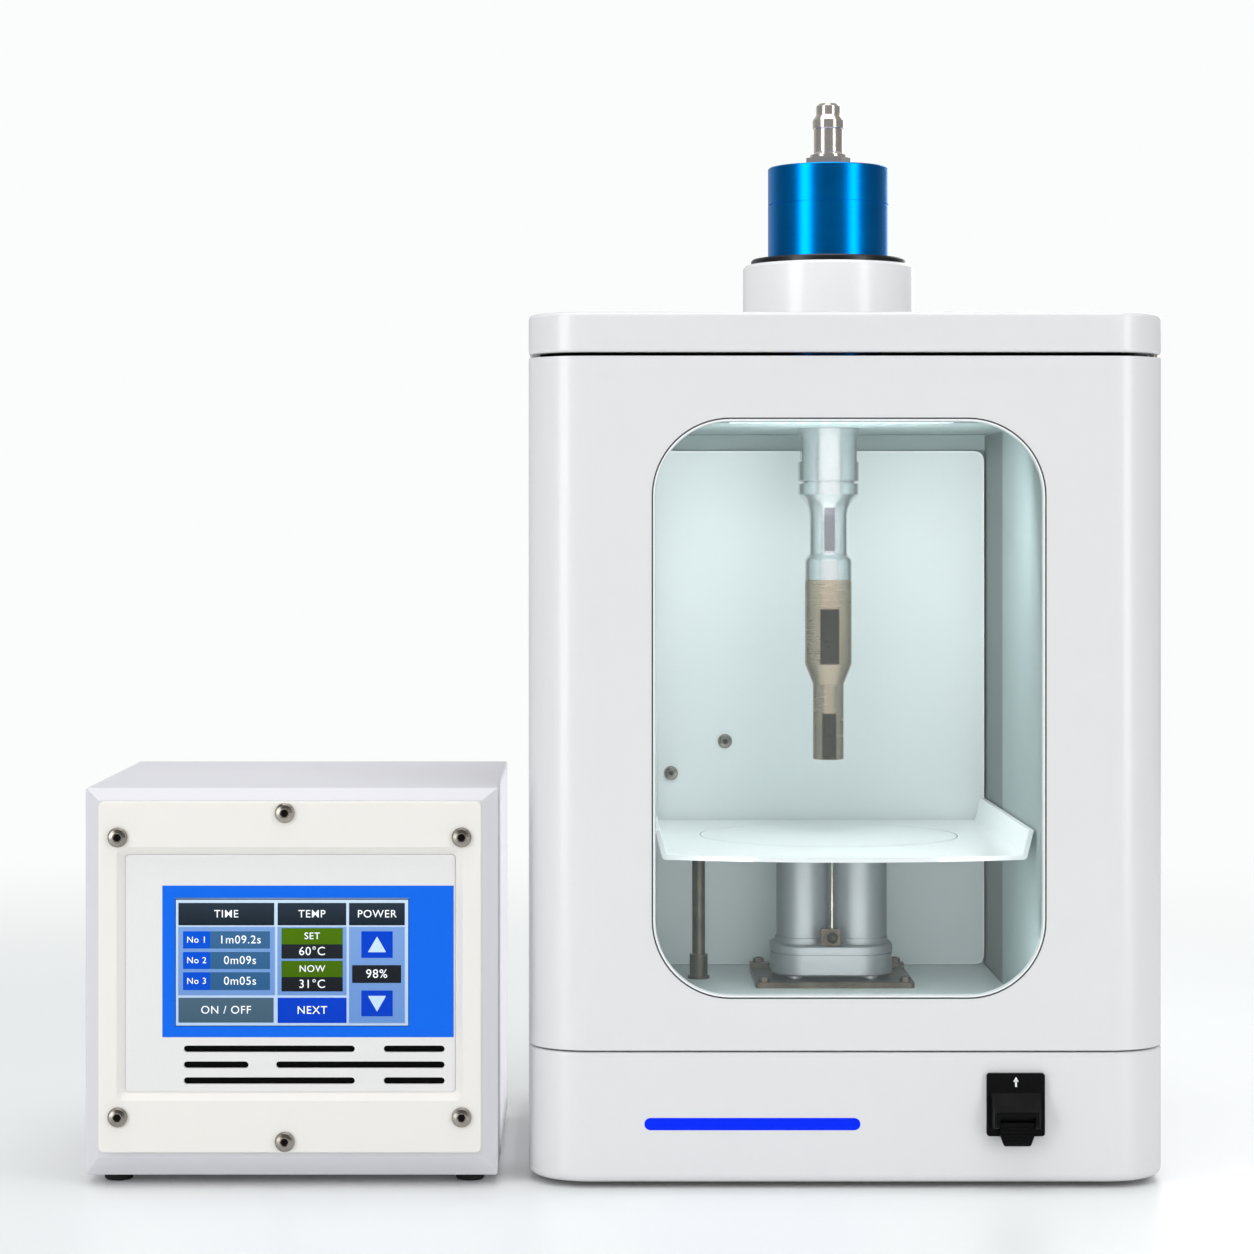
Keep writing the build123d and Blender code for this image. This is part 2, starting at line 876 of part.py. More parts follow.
with BuildPart() as door_seal:
    seal_front = door_wall + pane_thickness
    seal_depth = chamber_front - soft_gap - seal_front
    seal_plane = upright(cabinet_x, seal_front, chamber_middle)
    seal_inner_width = chamber_width + 2 * seal_margin
    seal_inner_height = chamber_height + 2 * seal_margin
    block(
        seal_inner_width + 2 * seal_width,
        seal_inner_height + 2 * seal_width,
        -seal_depth,
        seal_plane,
        seal_width,
    )
    block(seal_inner_width, seal_inner_height, -seal_depth, seal_plane, mode=Mode.SUBTRACT)
save(door_seal, "door_seal")

# Transducer housing: a tube with a shoulder that sits on the seat ring
seat_clearance = 0.1
with BuildPart() as transducer_housing:
    housing_section = [
        (sleeve_radius + 1.0, housing_bottom),
        (housing_neck, housing_bottom),
        (housing_neck, ring_top + seat_clearance),
        (housing_radius, ring_top + seat_clearance),
        (housing_radius, cap_seam),
        (housing_bore, cap_seam),
        (housing_bore, housing_bottom + housing_floor),
        (sleeve_radius + 1.0, housing_bottom + housing_floor),
    ]
    turned(housing_section, cabinet_x, probe_depth)
save(transducer_housing, "transducer_housing")

with BuildPart() as transducer_cap:
    cap_section = [
        (connector_hole, housing_top),
        (housing_radius - 0.6, housing_top),
        (housing_radius, housing_top - 0.6),
        (housing_radius, cap_seam + cap_groove),
        (housing_radius - 0.8, cap_seam + cap_groove),
        (housing_radius - 0.8, cap_seam),
        (housing_bore, cap_seam),
        (housing_bore, housing_top - cap_roof),
        (connector_hole, housing_top - cap_roof),
    ]
    turned(cap_section, cabinet_x, probe_depth)
save(transducer_cap, "transducer_cap")

# Cable connector on the cap: a hexagon, a barrel and a stepped end with a shallow mouth for the cord
with BuildPart() as cable_connector:
    barrel_radius = 8.15
    barrel_collar = 8.85
    hex_height = 9.0
    hex_apothem = 10.8
    connector_section = [
        (0, housing_top - cap_roof - 3),
        (connector_hole - fit, housing_top - cap_roof - 3),
        (connector_hole - fit, housing_top + hex_height - 1),
        (barrel_radius, housing_top + hex_height),
        (barrel_radius, connector_top - 14.5),
        (barrel_collar, connector_top - 14.0),
        (barrel_collar, connector_top - 9.5),
        (connector_end_radius, connector_top - 6.5),
        (connector_end_radius, connector_top - 1.5),
        (connector_end_radius - 1.6, connector_top),
        (3.3, connector_top),
        (3.3, connector_top - 3.5),
        (0, connector_top - 3.5),
    ]
    turned(connector_section, cabinet_x, probe_depth)
    with BuildSketch(level(cabinet_x, probe_depth, housing_top)):
        RegularPolygon(hex_apothem, 6, major_radius=False)
    extrude(amount=hex_height - 3)
    disc(hex_apothem - 0.6, hex_height - 1.5, level(cabinet_x, probe_depth, housing_top))
save(cable_connector, "cable_connector")

# Sandwich transducer: four ceramic rings between a steel back mass and an aluminium front mass
stack_top = stack_bottom + ring_count * piezo_thickness
with BuildPart() as piezo_rings:
    for index in range(ring_count):
        ring_plane = level(cabinet_x, probe_depth, stack_bottom + index * piezo_thickness)
        disc(stack_radius, piezo_thickness - 0.4, ring_plane)
        disc(bolt_radius + 2, piezo_thickness - 0.4, ring_plane, mode=Mode.SUBTRACT)
save(piezo_rings, "piezo_rings")

with BuildPart() as back_mass:
    disc(stack_radius, back_mass_height, level(cabinet_x, probe_depth, stack_top - 0.4))
    chamfer(back_mass.edges().group_by(Axis.Z)[-1], 2)
    disc(bolt_radius + fit, back_mass_height, level(cabinet_x, probe_depth, stack_top - 0.4), mode=Mode.SUBTRACT)
save(back_mass, "back_mass")

# Stack bolt through the rings, and the two studs that join the horn and the probe
with BuildPart() as transducer_bolts:
    bolt_seat = stack_top - 0.4 + back_mass_height
    disc(bolt_head_radius, bolt_head_height, level(cabinet_x, probe_depth, bolt_seat))
    disc(bolt_radius, stack_bottom - bolt_engagement - bolt_seat, level(cabinet_x, probe_depth, bolt_seat))
    with BuildSketch(level(cabinet_x, probe_depth, bolt_seat + bolt_head_height)):
        RegularPolygon(5, 6)
    extrude(amount=-6, mode=Mode.SUBTRACT)
    for joint_height in (sleeve_bottom, horn_bottom):
        disc(stud_radius, stud_length, level(cabinet_x, probe_depth, joint_height - stud_length / 2))
save(transducer_bolts, "transducer_bolts")

# Front mass: a flange at its node inside the housing, then a long sleeve with two wrench flats
flange_bottom = housing_bottom + housing_floor
with BuildPart() as front_mass:
    front_section = [
        (0, stack_bottom),
        (stack_radius, stack_bottom),
        (stack_radius, stack_bottom - 6),
        (sleeve_radius + 1.5, flange_bottom + 5),
        (housing_bore - fit, flange_bottom + 5),
        (housing_bore - fit, flange_bottom),
        (sleeve_radius, flange_bottom),
        (sleeve_radius, sleeve_bottom + 0.6),
        (sleeve_radius - 0.6, sleeve_bottom),
        (0, sleeve_bottom),
    ]
    turned(front_section, cabinet_x, probe_depth)
    disc(
        bolt_radius + fit,
        -bolt_engagement,
        level(cabinet_x, probe_depth, stack_bottom),
        mode=Mode.SUBTRACT,
    )
    disc(
        stud_radius + fit,
        stud_length / 2,
        level(cabinet_x, probe_depth, sleeve_bottom),
        mode=Mode.SUBTRACT,
    )
    with BuildSketch(level(cabinet_x, probe_depth, flat_bottom)):
        with GridLocations(2 * sleeve_radius, 0, 2, 1):
            Rectangle(2 * flat_inset, 2 * sleeve_radius)
    extrude(amount=flat_top - flat_bottom, mode=Mode.SUBTRACT)
save(front_mass, "front_mass")

# Booster horn: a flange, a waist and a flared end, turned from aluminium
with BuildPart() as booster_horn:
    waist_top = horn_top - waist_drop
    waist_bottom = horn_bottom + waist_rise
    flare_bottom = horn_bottom + flare_rise
    with BuildSketch(upright(cabinet_x, probe_depth, 0)) as horn_half:
        with BuildLine():
            Line((0, sleeve_bottom), (horn_flange_radius - 2.2, sleeve_bottom))
            Line((horn_flange_radius - 2.2, sleeve_bottom), (horn_flange_radius - 2.2, horn_top))
            Line((horn_flange_radius - 2.2, horn_top), (horn_flange_radius, horn_top))
            Line((horn_flange_radius, horn_top), (horn_flange_radius, horn_top - 6))
            Line((horn_flange_radius, horn_top - 6), (horn_flange_radius - 1.4, horn_top - 7.6))
            Bezier(
                (horn_flange_radius - 1.4, horn_top - 7.6),
                (neck_radius + 0.8, horn_top - 12),
                (neck_radius, waist_top + 1),
                (neck_radius, waist_top - 2),
            )
            Line((neck_radius, waist_top - 2), (neck_radius, waist_bottom))
            Bezier(
                (neck_radius, waist_bottom),
                (neck_radius, waist_bottom - 3.4),
                (horn_end_radius, flare_bottom + 3),
                (horn_end_radius, flare_bottom),
            )
            Line((horn_end_radius, flare_bottom), (horn_end_radius, horn_bottom))
            Line((horn_end_radius, horn_bottom), (0, horn_bottom))
            Line((0, horn_bottom), (0, sleeve_bottom))
        make_face()
    revolve(axis=Axis((cabinet_x, front_y + probe_depth, 0), (0, 0, 1)))
    disc(
        stud_radius + fit,
        -stud_length / 2,
        level(cabinet_x, probe_depth, sleeve_bottom),
        mode=Mode.SUBTRACT,
    )
    disc(
        stud_radius + fit,
        stud_length / 2,
        level(cabinet_x, probe_depth, horn_bottom),
        mode=Mode.SUBTRACT,
    )
save(booster_horn, "booster_horn")

# Titanium probe: a shoulder with wrench flats, a taper and the tip
with BuildPart() as probe_tip:
    probe_section = [
        (0, horn_bottom),
        (horn_end_radius - 0.3, horn_bottom),
        (horn_end_radius - 0.05, horn_bottom - 0.8),
        (horn_end_radius - 0.05, shoulder_bottom),
        (tip_radius, taper_bottom),
        (tip_radius, tip_bottom + 0.5),
        (tip_radius - 0.5, tip_bottom),
        (0, tip_bottom),
    ]
    turned(probe_section, cabinet_x, probe_depth)
    disc(
        stud_radius + fit,
        -stud_length / 2,
        level(cabinet_x, probe_depth, horn_bottom),
        mode=Mode.SUBTRACT,
    )
    flat_size = 2 * probe_flat_inset
    with BuildSketch(level(cabinet_x, probe_depth, shoulder_bottom)):
        with GridLocations(0, 2 * horn_end_radius, 1, 2):
            Rectangle(2 * horn_end_radius, flat_size)
    extrude(amount=probe_flat_top - shoulder_bottom, mode=Mode.SUBTRACT)
save(probe_tip, "probe_tip")

# Lift drive on the chamber floor: plate, nuts, gearbox, cover, motor and screw column
plate_top = chamber_bottom + lift_plate_thickness
nut_spread_x = lift_plate_width - 2 * nut_inset
nut_spread_y = lift_plate_depth - 2 * nut_inset
with BuildPart() as lift_plate:
    block(
        lift_plate_width,
        lift_plate_depth,
        lift_plate_thickness,
        level(lift_x, lift_depth, chamber_bottom),
        2,
    )
    block(
        lift_plate_width,
        rear_bar_depth,
        rear_bar_height,
        level(lift_x, lift_depth + (lift_plate_depth - rear_bar_depth) / 2, plate_top),
    )
    with BuildSketch(level(lift_x, lift_depth, chamber_bottom)):
        with GridLocations(nut_spread_x, nut_spread_y, 2, 2):
            Circle(plate_bolt_radius + fit)
    extrude(amount=lift_plate_thickness + rear_bar_height, mode=Mode.SUBTRACT)
save(lift_plate, "lift_plate")

with BuildPart() as plate_nuts:
    for side, seat in ((-1, plate_top), (1, plate_top + rear_bar_height)):
        nut_row = level(lift_x, lift_depth + side * nut_spread_y / 2, seat)
        with BuildSketch(nut_row):
            with GridLocations(nut_spread_x, 0, 2, 1):
                RegularPolygon(nut_apothem, 6, major_radius=False)
        extrude(amount=nut_height)
        with BuildSketch(nut_row):
            with GridLocations(nut_spread_x, 0, 2, 1):
                Circle(plate_bolt_radius)
        extrude(amount=nut_height + 0.6)
        with BuildSketch(nut_row):
            with GridLocations(nut_spread_x, 0, 2, 1):
                Circle(plate_bolt_radius)
        extrude(amount=chamber_bottom - seat)
save(plate_nuts, "plate_nuts")

gearbox_bottom = plate_top + gearbox_standoff
gearbox_top = gearbox_bottom + gearbox_height
with BuildPart() as lift_gearbox:
    block(
        gearbox_width,
        gearbox_depth,
        gearbox_height,
        level(lift_x, lift_depth, gearbox_bottom),
        gearbox_corner,
    )
    fillet(lift_gearbox.edges().group_by(Axis.Z)[0], 1.2)
    with BuildSketch(level(lift_x, lift_depth, plate_top)):
        with GridLocations(
            gearbox_width - 2 * gearbox_foot_inset_x, gearbox_depth - 2 * gearbox_foot_inset_y, 2, 2
        ):
            Circle(gearbox_foot_radius)
    extrude(amount=gearbox_standoff + gearbox_height / 2)
    disc(
        screw_radius + soft_gap,
        -gearbox_height / 2,
        level(screw_x, lift_depth, gearbox_top),
        mode=Mode.SUBTRACT,
    )
save(lift_gearbox, "lift_gearbox")

cover_top = gearbox_top + cover_height
with BuildPart() as lift_gearbox_cover:
    block(
        gearbox_width - 2,
        gearbox_depth - 2,
        0.8,
        level(lift_x, lift_depth, gearbox_top),
        gearbox_corner - 1,
    )
    block(
        gearbox_width + 0.6,
        gearbox_depth + 0.6,
        cover_height - 0.8,
        level(lift_x, lift_depth, gearbox_top + 0.8),
        gearbox_corner,
    )
    fillet(lift_gearbox_cover.edges().group_by(Axis.Z)[-1], 0.8)
    disc(
        screw_radius + soft_gap + 3.2,
        cover_height,
        level(screw_x, lift_depth, gearbox_top),
        mode=Mode.SUBTRACT,
    )
save(lift_gearbox_cover, "lift_gearbox_cover")

column_bottom = cover_top + column_flange
with BuildPart() as lift_motor:
    motor_section = [
        (0, cover_top),
        (motor_radius + 0.3, cover_top),
        (motor_radius + 0.3, column_bottom - 0.6),
        (motor_radius - 0.5, column_bottom - 0.6),
        (motor_radius - 0.5, column_bottom),
        (motor_radius, column_bottom),
        (motor_radius, column_top - 0.8),
        (motor_radius - 0.8, column_top),
        (0, column_top),
    ]
    turned(motor_section, motor_x, lift_depth)
save(lift_motor, "lift_motor")

ram_hole = ram_radius + soft_gap
with BuildPart() as screw_column:
    column_section = [
        (ram_collar + soft_gap, cover_top),
        (screw_column_radius + 1.1, cover_top),
        (screw_column_radius + 1.1, column_bottom - 0.6),
        (screw_column_radius - 0.5, column_bottom - 0.6),
        (screw_column_radius - 0.5, column_bottom),
        (screw_column_radius, column_bottom),
        (screw_column_radius, column_top - 0.8),
        (screw_column_radius - 0.8, column_top),
        (ram_hole, column_top),
        (ram_hole, column_top - 3),
        (ram_collar + soft_gap, column_top - 3),
    ]
    turned(column_section, screw_x, lift_depth)
save(screw_column, "screw_column")

# Lead screw: turns in the gearbox and drives the ram through its nut
screw_bottom = gearbox_top - gearbox_height / 2 + soft_gap
with BuildPart() as lead_screw:
    screw_section = [
        (0, screw_bottom),
        (screw_radius, screw_bottom),
        (screw_radius, gearbox_top + soft_gap),
        (screw_radius + 2.5, gearbox_top + soft_gap),
        (screw_radius + 2.5, gearbox_top + 2.5),
        (screw_radius, gearbox_top + 2.5),
        (screw_radius, column_top - 10),
        (screw_radius - 0.8, column_top - 9),
        (0, column_top - 9),
    ]
    turned(screw_section, screw_x, lift_depth)
save(lead_screw, "lead_screw")

ram_bottom = column_bottom + 2
with BuildPart() as lift_ram:
    ram_section = [
        (screw_radius + soft_gap, ram_bottom),
        (ram_collar, ram_bottom),
        (ram_collar, ram_bottom + 6),
        (ram_radius, ram_bottom + 6),
        (ram_radius, table_under),
        (0, table_under),
        (0, column_top - 6),
        (screw_radius + soft_gap, column_top - 6),
    ]
    turned(ram_section, screw_x, lift_depth)
save(lift_ram, "lift_ram")

# Lift table: one bent sheet with a bowed front, flared side flanges and a recess for the disc
with BuildPart() as lift_table:
    flange_top = table_top + flange_height
    with BuildSketch(upright(cabinet_x, table_front, 0)):
        with BuildLine():
            Polyline(
                (-table_reach, flange_top),
                (-table_half_width, table_under),
                (table_half_width, table_under),
                (table_reach, flange_top),
                (table_reach - table_sheet, flange_top),
                (table_half_width - table_sheet + 0.4, table_top),
                (-table_half_width + table_sheet - 0.4, table_top),
                (-table_reach + table_sheet, flange_top),
                close=True,
            )
        make_face()
    extrude(amount=table_front - table_back)
    bend_edges = lift_table.edges().filter_by(Axis.Y)
    fillet(bend_edges.group_by(Axis.Z)[0], 2.4)
    with BuildSketch(level(cabinet_x, table_front, table_under - 1)):
        with BuildLine():
            ThreePointArc((-table_reach - 1, table_bow), (0, 0), (table_reach + 1, table_bow))
            Polyline(
                (table_reach + 1, table_bow),
                (table_reach + 1, -5),
                (-table_reach - 1, -5),
                (-table_reach - 1, table_bow),
            )
        make_face()
    extrude(amount=flange_height + table_sheet + 2, mode=Mode.SUBTRACT)
    disc(
        disc_radius + soft_gap,
        -disc_recess,
        level(cabinet_x, probe_depth, table_top),
        mode=Mode.SUBTRACT,
    )
save(lift_table, "lift_table")

with BuildPart() as table_disc:
    disc(disc_radius, disc_recess, level(cabinet_x, probe_depth, table_top - disc_recess))
save(table_disc, "table_disc")

# Guide rod under the table, running in a bush through the chamber floor
guide_x = cabinet_x - guide_shift
with BuildPart() as guide_rod:
    guide_section = [
        (0, body_bottom - guide_drop),
        (guide_radius - 0.6, body_bottom - guide_drop),
        (guide_radius, body_bottom - guide_drop + 0.6),
        (guide_radius, table_under - 3),
        (guide_radius + 1.25, table_under - 3),
        (guide_radius + 1.25, table_under),
        (0, table_under),
    ]
    turned(guide_section, guide_x, guide_depth)
save(guide_rod, "guide_rod")

with BuildPart() as guide_bush:
    bush_section = [
        (guide_radius + fit, chamber_bottom - sheet - 6),
        (bush_neck, chamber_bottom - sheet - 6),
        (bush_neck, chamber_bottom),
        (guide_radius + 2.6, chamber_bottom),
        (guide_radius + 2.6, chamber_bottom + 1.5),
        (guide_radius + 1.5, chamber_bottom + 1.5),
        (guide_radius + 1.5, chamber_bottom + 14),
        (guide_radius + fit, chamber_bottom + 14),
    ]
    turned(bush_section, guide_x, guide_depth)
save(guide_bush, "guide_bush")

# Trip rod under the table and the stop bracket that it runs down into
trip_x = (screw_x + screw_column_radius + motor_x - motor_radius) / 2
with BuildPart() as trip_rod:
    disc(trip_radius, cover_top + 2 - table_under, level(trip_x, trip_depth, table_under))
    with BuildSketch(level(trip_x, trip_depth, table_under)):
        RegularPolygon(3, 6, major_radius=False)
    extrude(amount=-3)
save(trip_rod, "trip_rod")

with BuildPart() as stop_bracket:
    block(
        bracket_width,
        bracket_depth,
        bracket_height,
        level(trip_x - 1.0, trip_depth, cover_top),
    )
    disc(
        trip_radius + soft_gap,
        bracket_height,
        level(trip_x, trip_depth, cover_top),
        mode=Mode.SUBTRACT,
    )
    ball_z = cover_top + bracket_height / 2
    disc(3.9, 1.2, upright(trip_x, trip_depth - bracket_depth / 2, ball_z))
    with BuildSketch(level(trip_x, trip_depth - bracket_depth / 2 - 3.2, ball_z)) as ball_half:
        Circle(3.15)
        with Locations((-5, 0)):
            Rectangle(10, 10, mode=Mode.SUBTRACT)
    revolve(ball_half.sketch, axis=Axis((trip_x, front_y + trip_depth, ball_z), (0, 1, 0)))
save(stop_bracket, "stop_bracket")

# Lift switch: a plate with a hood that is open below its lip, and a ribbed lever on pins inside the hood
slope_run = hood_reach - hood_roof - switch_plate_thickness
slope_fall = hood_top - hood_ridge - hood_roof
roof_shift = hood_roof * math.hypot(slope_run, slope_fall) / slope_run
with BuildPart() as switch_plate:
    with BuildSketch(sideways(switch_x - hood_width / 2, 0, 0)):
        with BuildLine():
            FilletPolyline(
                (-switch_plate_thickness + 0.5, hood_bottom),
                (-hood_reach, hood_bottom),
                (-hood_reach, hood_ridge),
                (-hood_reach + hood_roof, hood_ridge + hood_roof),
                (-switch_plate_thickness, hood_top),
                (-switch_plate_thickness + 0.5, hood_top),
                radius=[0, 2.5, 1.0, 1.0, 0, 0],
                close=True,
            )
        make_face()
    extrude(amount=hood_width)
    with BuildSketch(level(switch_x, 0, hood_bottom - 1)):
        for side in (-1, 1):
            with BuildLine():
                Polyline(
                    (side * hood_width / 2, -switch_plate_thickness),
                    (side * (hood_width / 2 - hood_draft), -hood_reach + 1),
                    (side * (hood_width / 2 - hood_draft - 1), -hood_reach),
                    (side * (hood_width / 2 - hood_draft - 1), -hood_reach - 1),
                    (side * (hood_width / 2 + 1), -hood_reach - 1),
                    (side * (hood_width / 2 + 1), -switch_plate_thickness),
                    close=True,
                )
            make_face()
    extrude(amount=hood_top - hood_bottom + 2, mode=Mode.SUBTRACT)
    block(
        switch_width,
        switch_height,
        switch_plate_thickness,
        upright(switch_x, 0, switch_bottom + switch_height / 2),
        1.5,
    )
    with BuildSketch(sideways(switch_x - lever_width / 2 - lever_gap, 0, 0)):
        with BuildLine():
            Polyline(
                (1, hood_bottom + 1.5),
                (-switch_plate_thickness, hood_bottom + 1.5),
                (-switch_plate_thickness, hood_bottom - 1),
                (-hood_reach - 1, hood_bottom - 1),
                (-hood_reach - 1, hood_lip),
                (-hood_reach + hood_roof, hood_lip),
                (-hood_reach + hood_roof, hood_ridge + hood_roof - roof_shift),
                (-switch_plate_thickness - hood_roof, hood_top - roof_shift - hood_roof),
                (1, hood_top - roof_shift - hood_roof),
                close=True,
            )
        make_face()
    extrude(amount=lever_width + 2 * lever_gap, mode=Mode.SUBTRACT)
    disc(
        pivot_pin_radius + running_fit,
        lever_width + 2 * (lever_gap + pivot_pin_length) + 2 * fit,
        sideways(
            switch_x - lever_width / 2 - lever_gap - pivot_pin_length - fit, -lever_pivot_reach, lever_pivot
        ),
        mode=Mode.SUBTRACT,
    )
save(switch_plate, "switch_plate")

with BuildPart() as switch_lever:
    lever_top = hood_lip - 3.2
    with BuildSketch(sideways(switch_x - lever_width / 2, -lever_pivot_reach, 0)):
        with BuildLine():
            FilletPolyline(
                (lever_barrel - 0.2, lever_pivot),
                (-lever_barrel + 0.2, lever_pivot),
                (-lever_barrel, lever_top + 1.2),
                (lever_pivot_reach - lever_reach, lever_top),
                (lever_pivot_reach - lever_reach, lever_bottom + 1.6),
                (lever_pivot_reach - lever_reach + 1.2, lever_bottom),
                (-0.6, lever_bottom),
                (0.4, lever_bottom + 1.6),
                (1.4, lever_top),
                radius=[0, 0, 0.4, 0.4, 0.6, 0.4, 0.4, 0, 0],
                close=True,
            )
        make_face()
    extrude(amount=lever_width)
    disc(lever_barrel, lever_width, sideways(switch_x - lever_width / 2, -lever_pivot_reach, lever_pivot))
    with BuildSketch(upright(switch_x, -hood_reach - 1, 0)):
        with BuildLine():
            FilletPolyline(
                (-lever_width / 2, lever_pivot + lever_barrel + 1),
                (-lever_width / 2, lever_bottom + 5.5),
                (-lever_tip_width / 2, lever_bottom),
                (lever_tip_width / 2, lever_bottom),
                (lever_width / 2, lever_bottom + 5.5),
                (lever_width / 2, lever_pivot + lever_barrel + 1),
                radius=[0, 3.0, 1.5, 1.5, 3.0, 0],
                close=True,
            )
        make_face()
    extrude(amount=-hood_reach - 1, mode=Mode.INTERSECT)
    with BuildSketch(upright(switch_x, -lever_reach - 1, 0)):
        for index in range(groove_count):
            groove_z = lever_top - 1.4 - index * groove_pitch
            with BuildLine():
                ThreePointArc(
                    (-lever_width / 2, groove_z - groove_rise),
                    (0, groove_z),
                    (lever_width / 2, groove_z - groove_rise),
                )
                Line(
                    (lever_width / 2, groove_z - groove_rise),
                    (lever_width / 2, groove_z - groove_rise - groove_width),
                )
                ThreePointArc(
                    (lever_width / 2, groove_z - groove_rise - groove_width),
                    (0, groove_z - groove_width),
                    (-lever_width / 2, groove_z - groove_rise - groove_width),
                )
                Line(
                    (-lever_width / 2, groove_z - groove_rise - groove_width),
                    (-lever_width / 2, groove_z - groove_rise),
                )
            make_face()
    extrude(amount=-groove_depth - 1, mode=Mode.SUBTRACT)
    disc(
        pivot_pin_radius,
        lever_width + 2 * (lever_gap + pivot_pin_length),
        sideways(switch_x - lever_width / 2 - lever_gap - pivot_pin_length, -lever_pivot_reach, lever_pivot),
    )
save(switch_lever, "switch_lever")

# Round threaded sockets for the cables between the units: one on each unit's back
with BuildPart() as panel_sockets:
    places = [
        (cabinet_socket_x, cabinet_depth, cabinet_socket_z, base_wall),
        (generator_socket_x, generator_depth, inlet_z, rear_panel_thickness),
    ]
    for socket_x, socket_depth, socket_z, wall in places:
        socket_section = [
            (0, -wall - 6),
            (socket_radius - 1 - fit, -wall - 6),
            (socket_radius - 1 - fit, 0),
            (socket_radius + 2, 0),
            (socket_radius + 2, 2),
            (socket_radius, 2.5),
            (socket_radius, socket_reach),
            (socket_radius - 2, socket_reach),
            (socket_radius - 2, socket_reach - 3.5),
            (0, socket_reach - 3.5),
        ]
        turned_back(socket_section, socket_x, socket_depth, socket_z)
save(panel_sockets, "panel_sockets")

# Generator case: a sheet box with a bevelled front rim, open at the front for the panel and at the back
case_front = bezel_thickness
case_middle = generator_foot_height + generator_height / 2
with BuildPart() as generator_case:
    rim_bottom = bezel_bottom - bezel_ledge
    rim_top = bezel_bottom + bezel_height + 0.5
    with BuildSketch(upright(generator_x, case_front, (rim_bottom + rim_top) / 2)):
        Rectangle(bezel_width + 1, rim_top - rim_bottom)
    with BuildSketch(upright(generator_x, case_front + front_bevel, case_middle)):
        Rectangle(generator_width, generator_height)
    loft()
    block(
        generator_width,
        generator_height,
        case_front + front_bevel - generator_depth,
        upright(generator_x, case_front + front_bevel, case_middle),
    )
    side_edges = generator_case.edges().filter_by(Axis.Y)
    fillet(side_edges, 1.2)
    block(
        generator_width - 2 * case_wall,
        generator_height - 2 * case_wall,
        -generator_depth,
        upright(generator_x, case_front + rim_depth, case_middle),
        mode=Mode.SUBTRACT,
    )
    block(
        recess_width - 2 * recess_bevel,
        recess_height - 2 * recess_bevel,
        -rim_depth,
        upright(generator_x, case_front, recess_middle),
        mode=Mode.SUBTRACT,
    )
save(generator_case, "generator_case")

# Screws of the bezel: four near its corners and one in the middle of the top and of the bottom
bezel_screw_places = [
    (sx * screw_spread_x, sz * screw_spread_z) for sx in (-1, 1) for sz in (-1, 1)
] + [(-middle_screw_shift, sz * middle_screw_spread_z) for sz in (-1, 1)]

with BuildPart() as front_bezel:
    block(
        bezel_width,
        bezel_height,
        -bezel_thickness,
        upright(generator_x, 0, bezel_middle),
        bezel_corner,
    )
    fillet(front_bezel.edges().group_by(Axis.Y)[0], 0.8)
    opening_width = recess_width - 2 * recess_bevel
    opening_height = recess_height - 2 * recess_bevel
    with BuildSketch(upright(generator_x, 0, recess_middle)):
        RectangleRounded(recess_width, recess_height, 4)
    with BuildSketch(upright(generator_x, bezel_thickness, recess_middle)):
        RectangleRounded(opening_width, opening_height, 2)
    loft(mode=Mode.SUBTRACT)
    with BuildSketch(upright(generator_x, 0, bezel_middle)):
        with Locations(*bezel_screw_places):
            Circle(bezel_screw_radius + fit)
    extrude(amount=-bezel_thickness, mode=Mode.SUBTRACT)
save(front_bezel, "front_bezel")

with BuildPart() as bezel_screws:
    for shift, rise in bezel_screw_places:
        button_screw(
            generator_x + shift,
            0,
            bezel_middle + rise,
            bezel_screw_head,
            bezel_screw_rise,
            bezel_screw_radius,
            bezel_thickness,
        )
save(bezel_screws, "bezel_screws")

# Control panel behind the bezel's opening, with the screen's window and rows of vent slots
screen_x = screen_left + screen_width / 2
screen_z = screen_bottom + screen_height / 2
slot_row = slot_right - slot_left
outer_row = [(0, long_slot), (long_slot + slot_gap, slot_row)]
middle_row = [(0, short_slot), (short_slot + slot_gap_middle, slot_row)]
with BuildPart() as control_panel:
    block(
        opening_width - 2 * fit,
        opening_height - 2 * fit,
        -panel_thickness,
        upright(generator_x, bezel_thickness - panel_recess, recess_middle),
        2,
    )
    block(
        screen_width,
        screen_height,
        -panel_thickness,
        upright(screen_x, bezel_thickness - panel_recess, screen_z),
        mode=Mode.SUBTRACT,
    )
    with BuildSketch(upright(slot_left, bezel_thickness - panel_recess, slot_top)):
        for index, row in enumerate((outer_row, middle_row, outer_row)):
            for start, end in row:
                with Locations(((start + end) / 2, -index * slot_pitch)):
                    SlotOverall(end - start, slot_height)
    extrude(amount=-panel_thickness, mode=Mode.SUBTRACT)
save(control_panel, "control_panel")

with BuildPart() as touch_screen:
    block(
        screen_width - 2 * fit,
        screen_height - 2 * fit,
        -panel_thickness - panel_recess + fit,
        upright(screen_x, bezel_thickness - fit, screen_z),
    )
    block(
        screen_width + 2 * screen_border,
        screen_height + 2 * screen_border,
        -screen_thickness,
        upright(screen_x, bezel_thickness - panel_recess + panel_thickness, screen_z),
    )
save(touch_screen, "touch_screen")

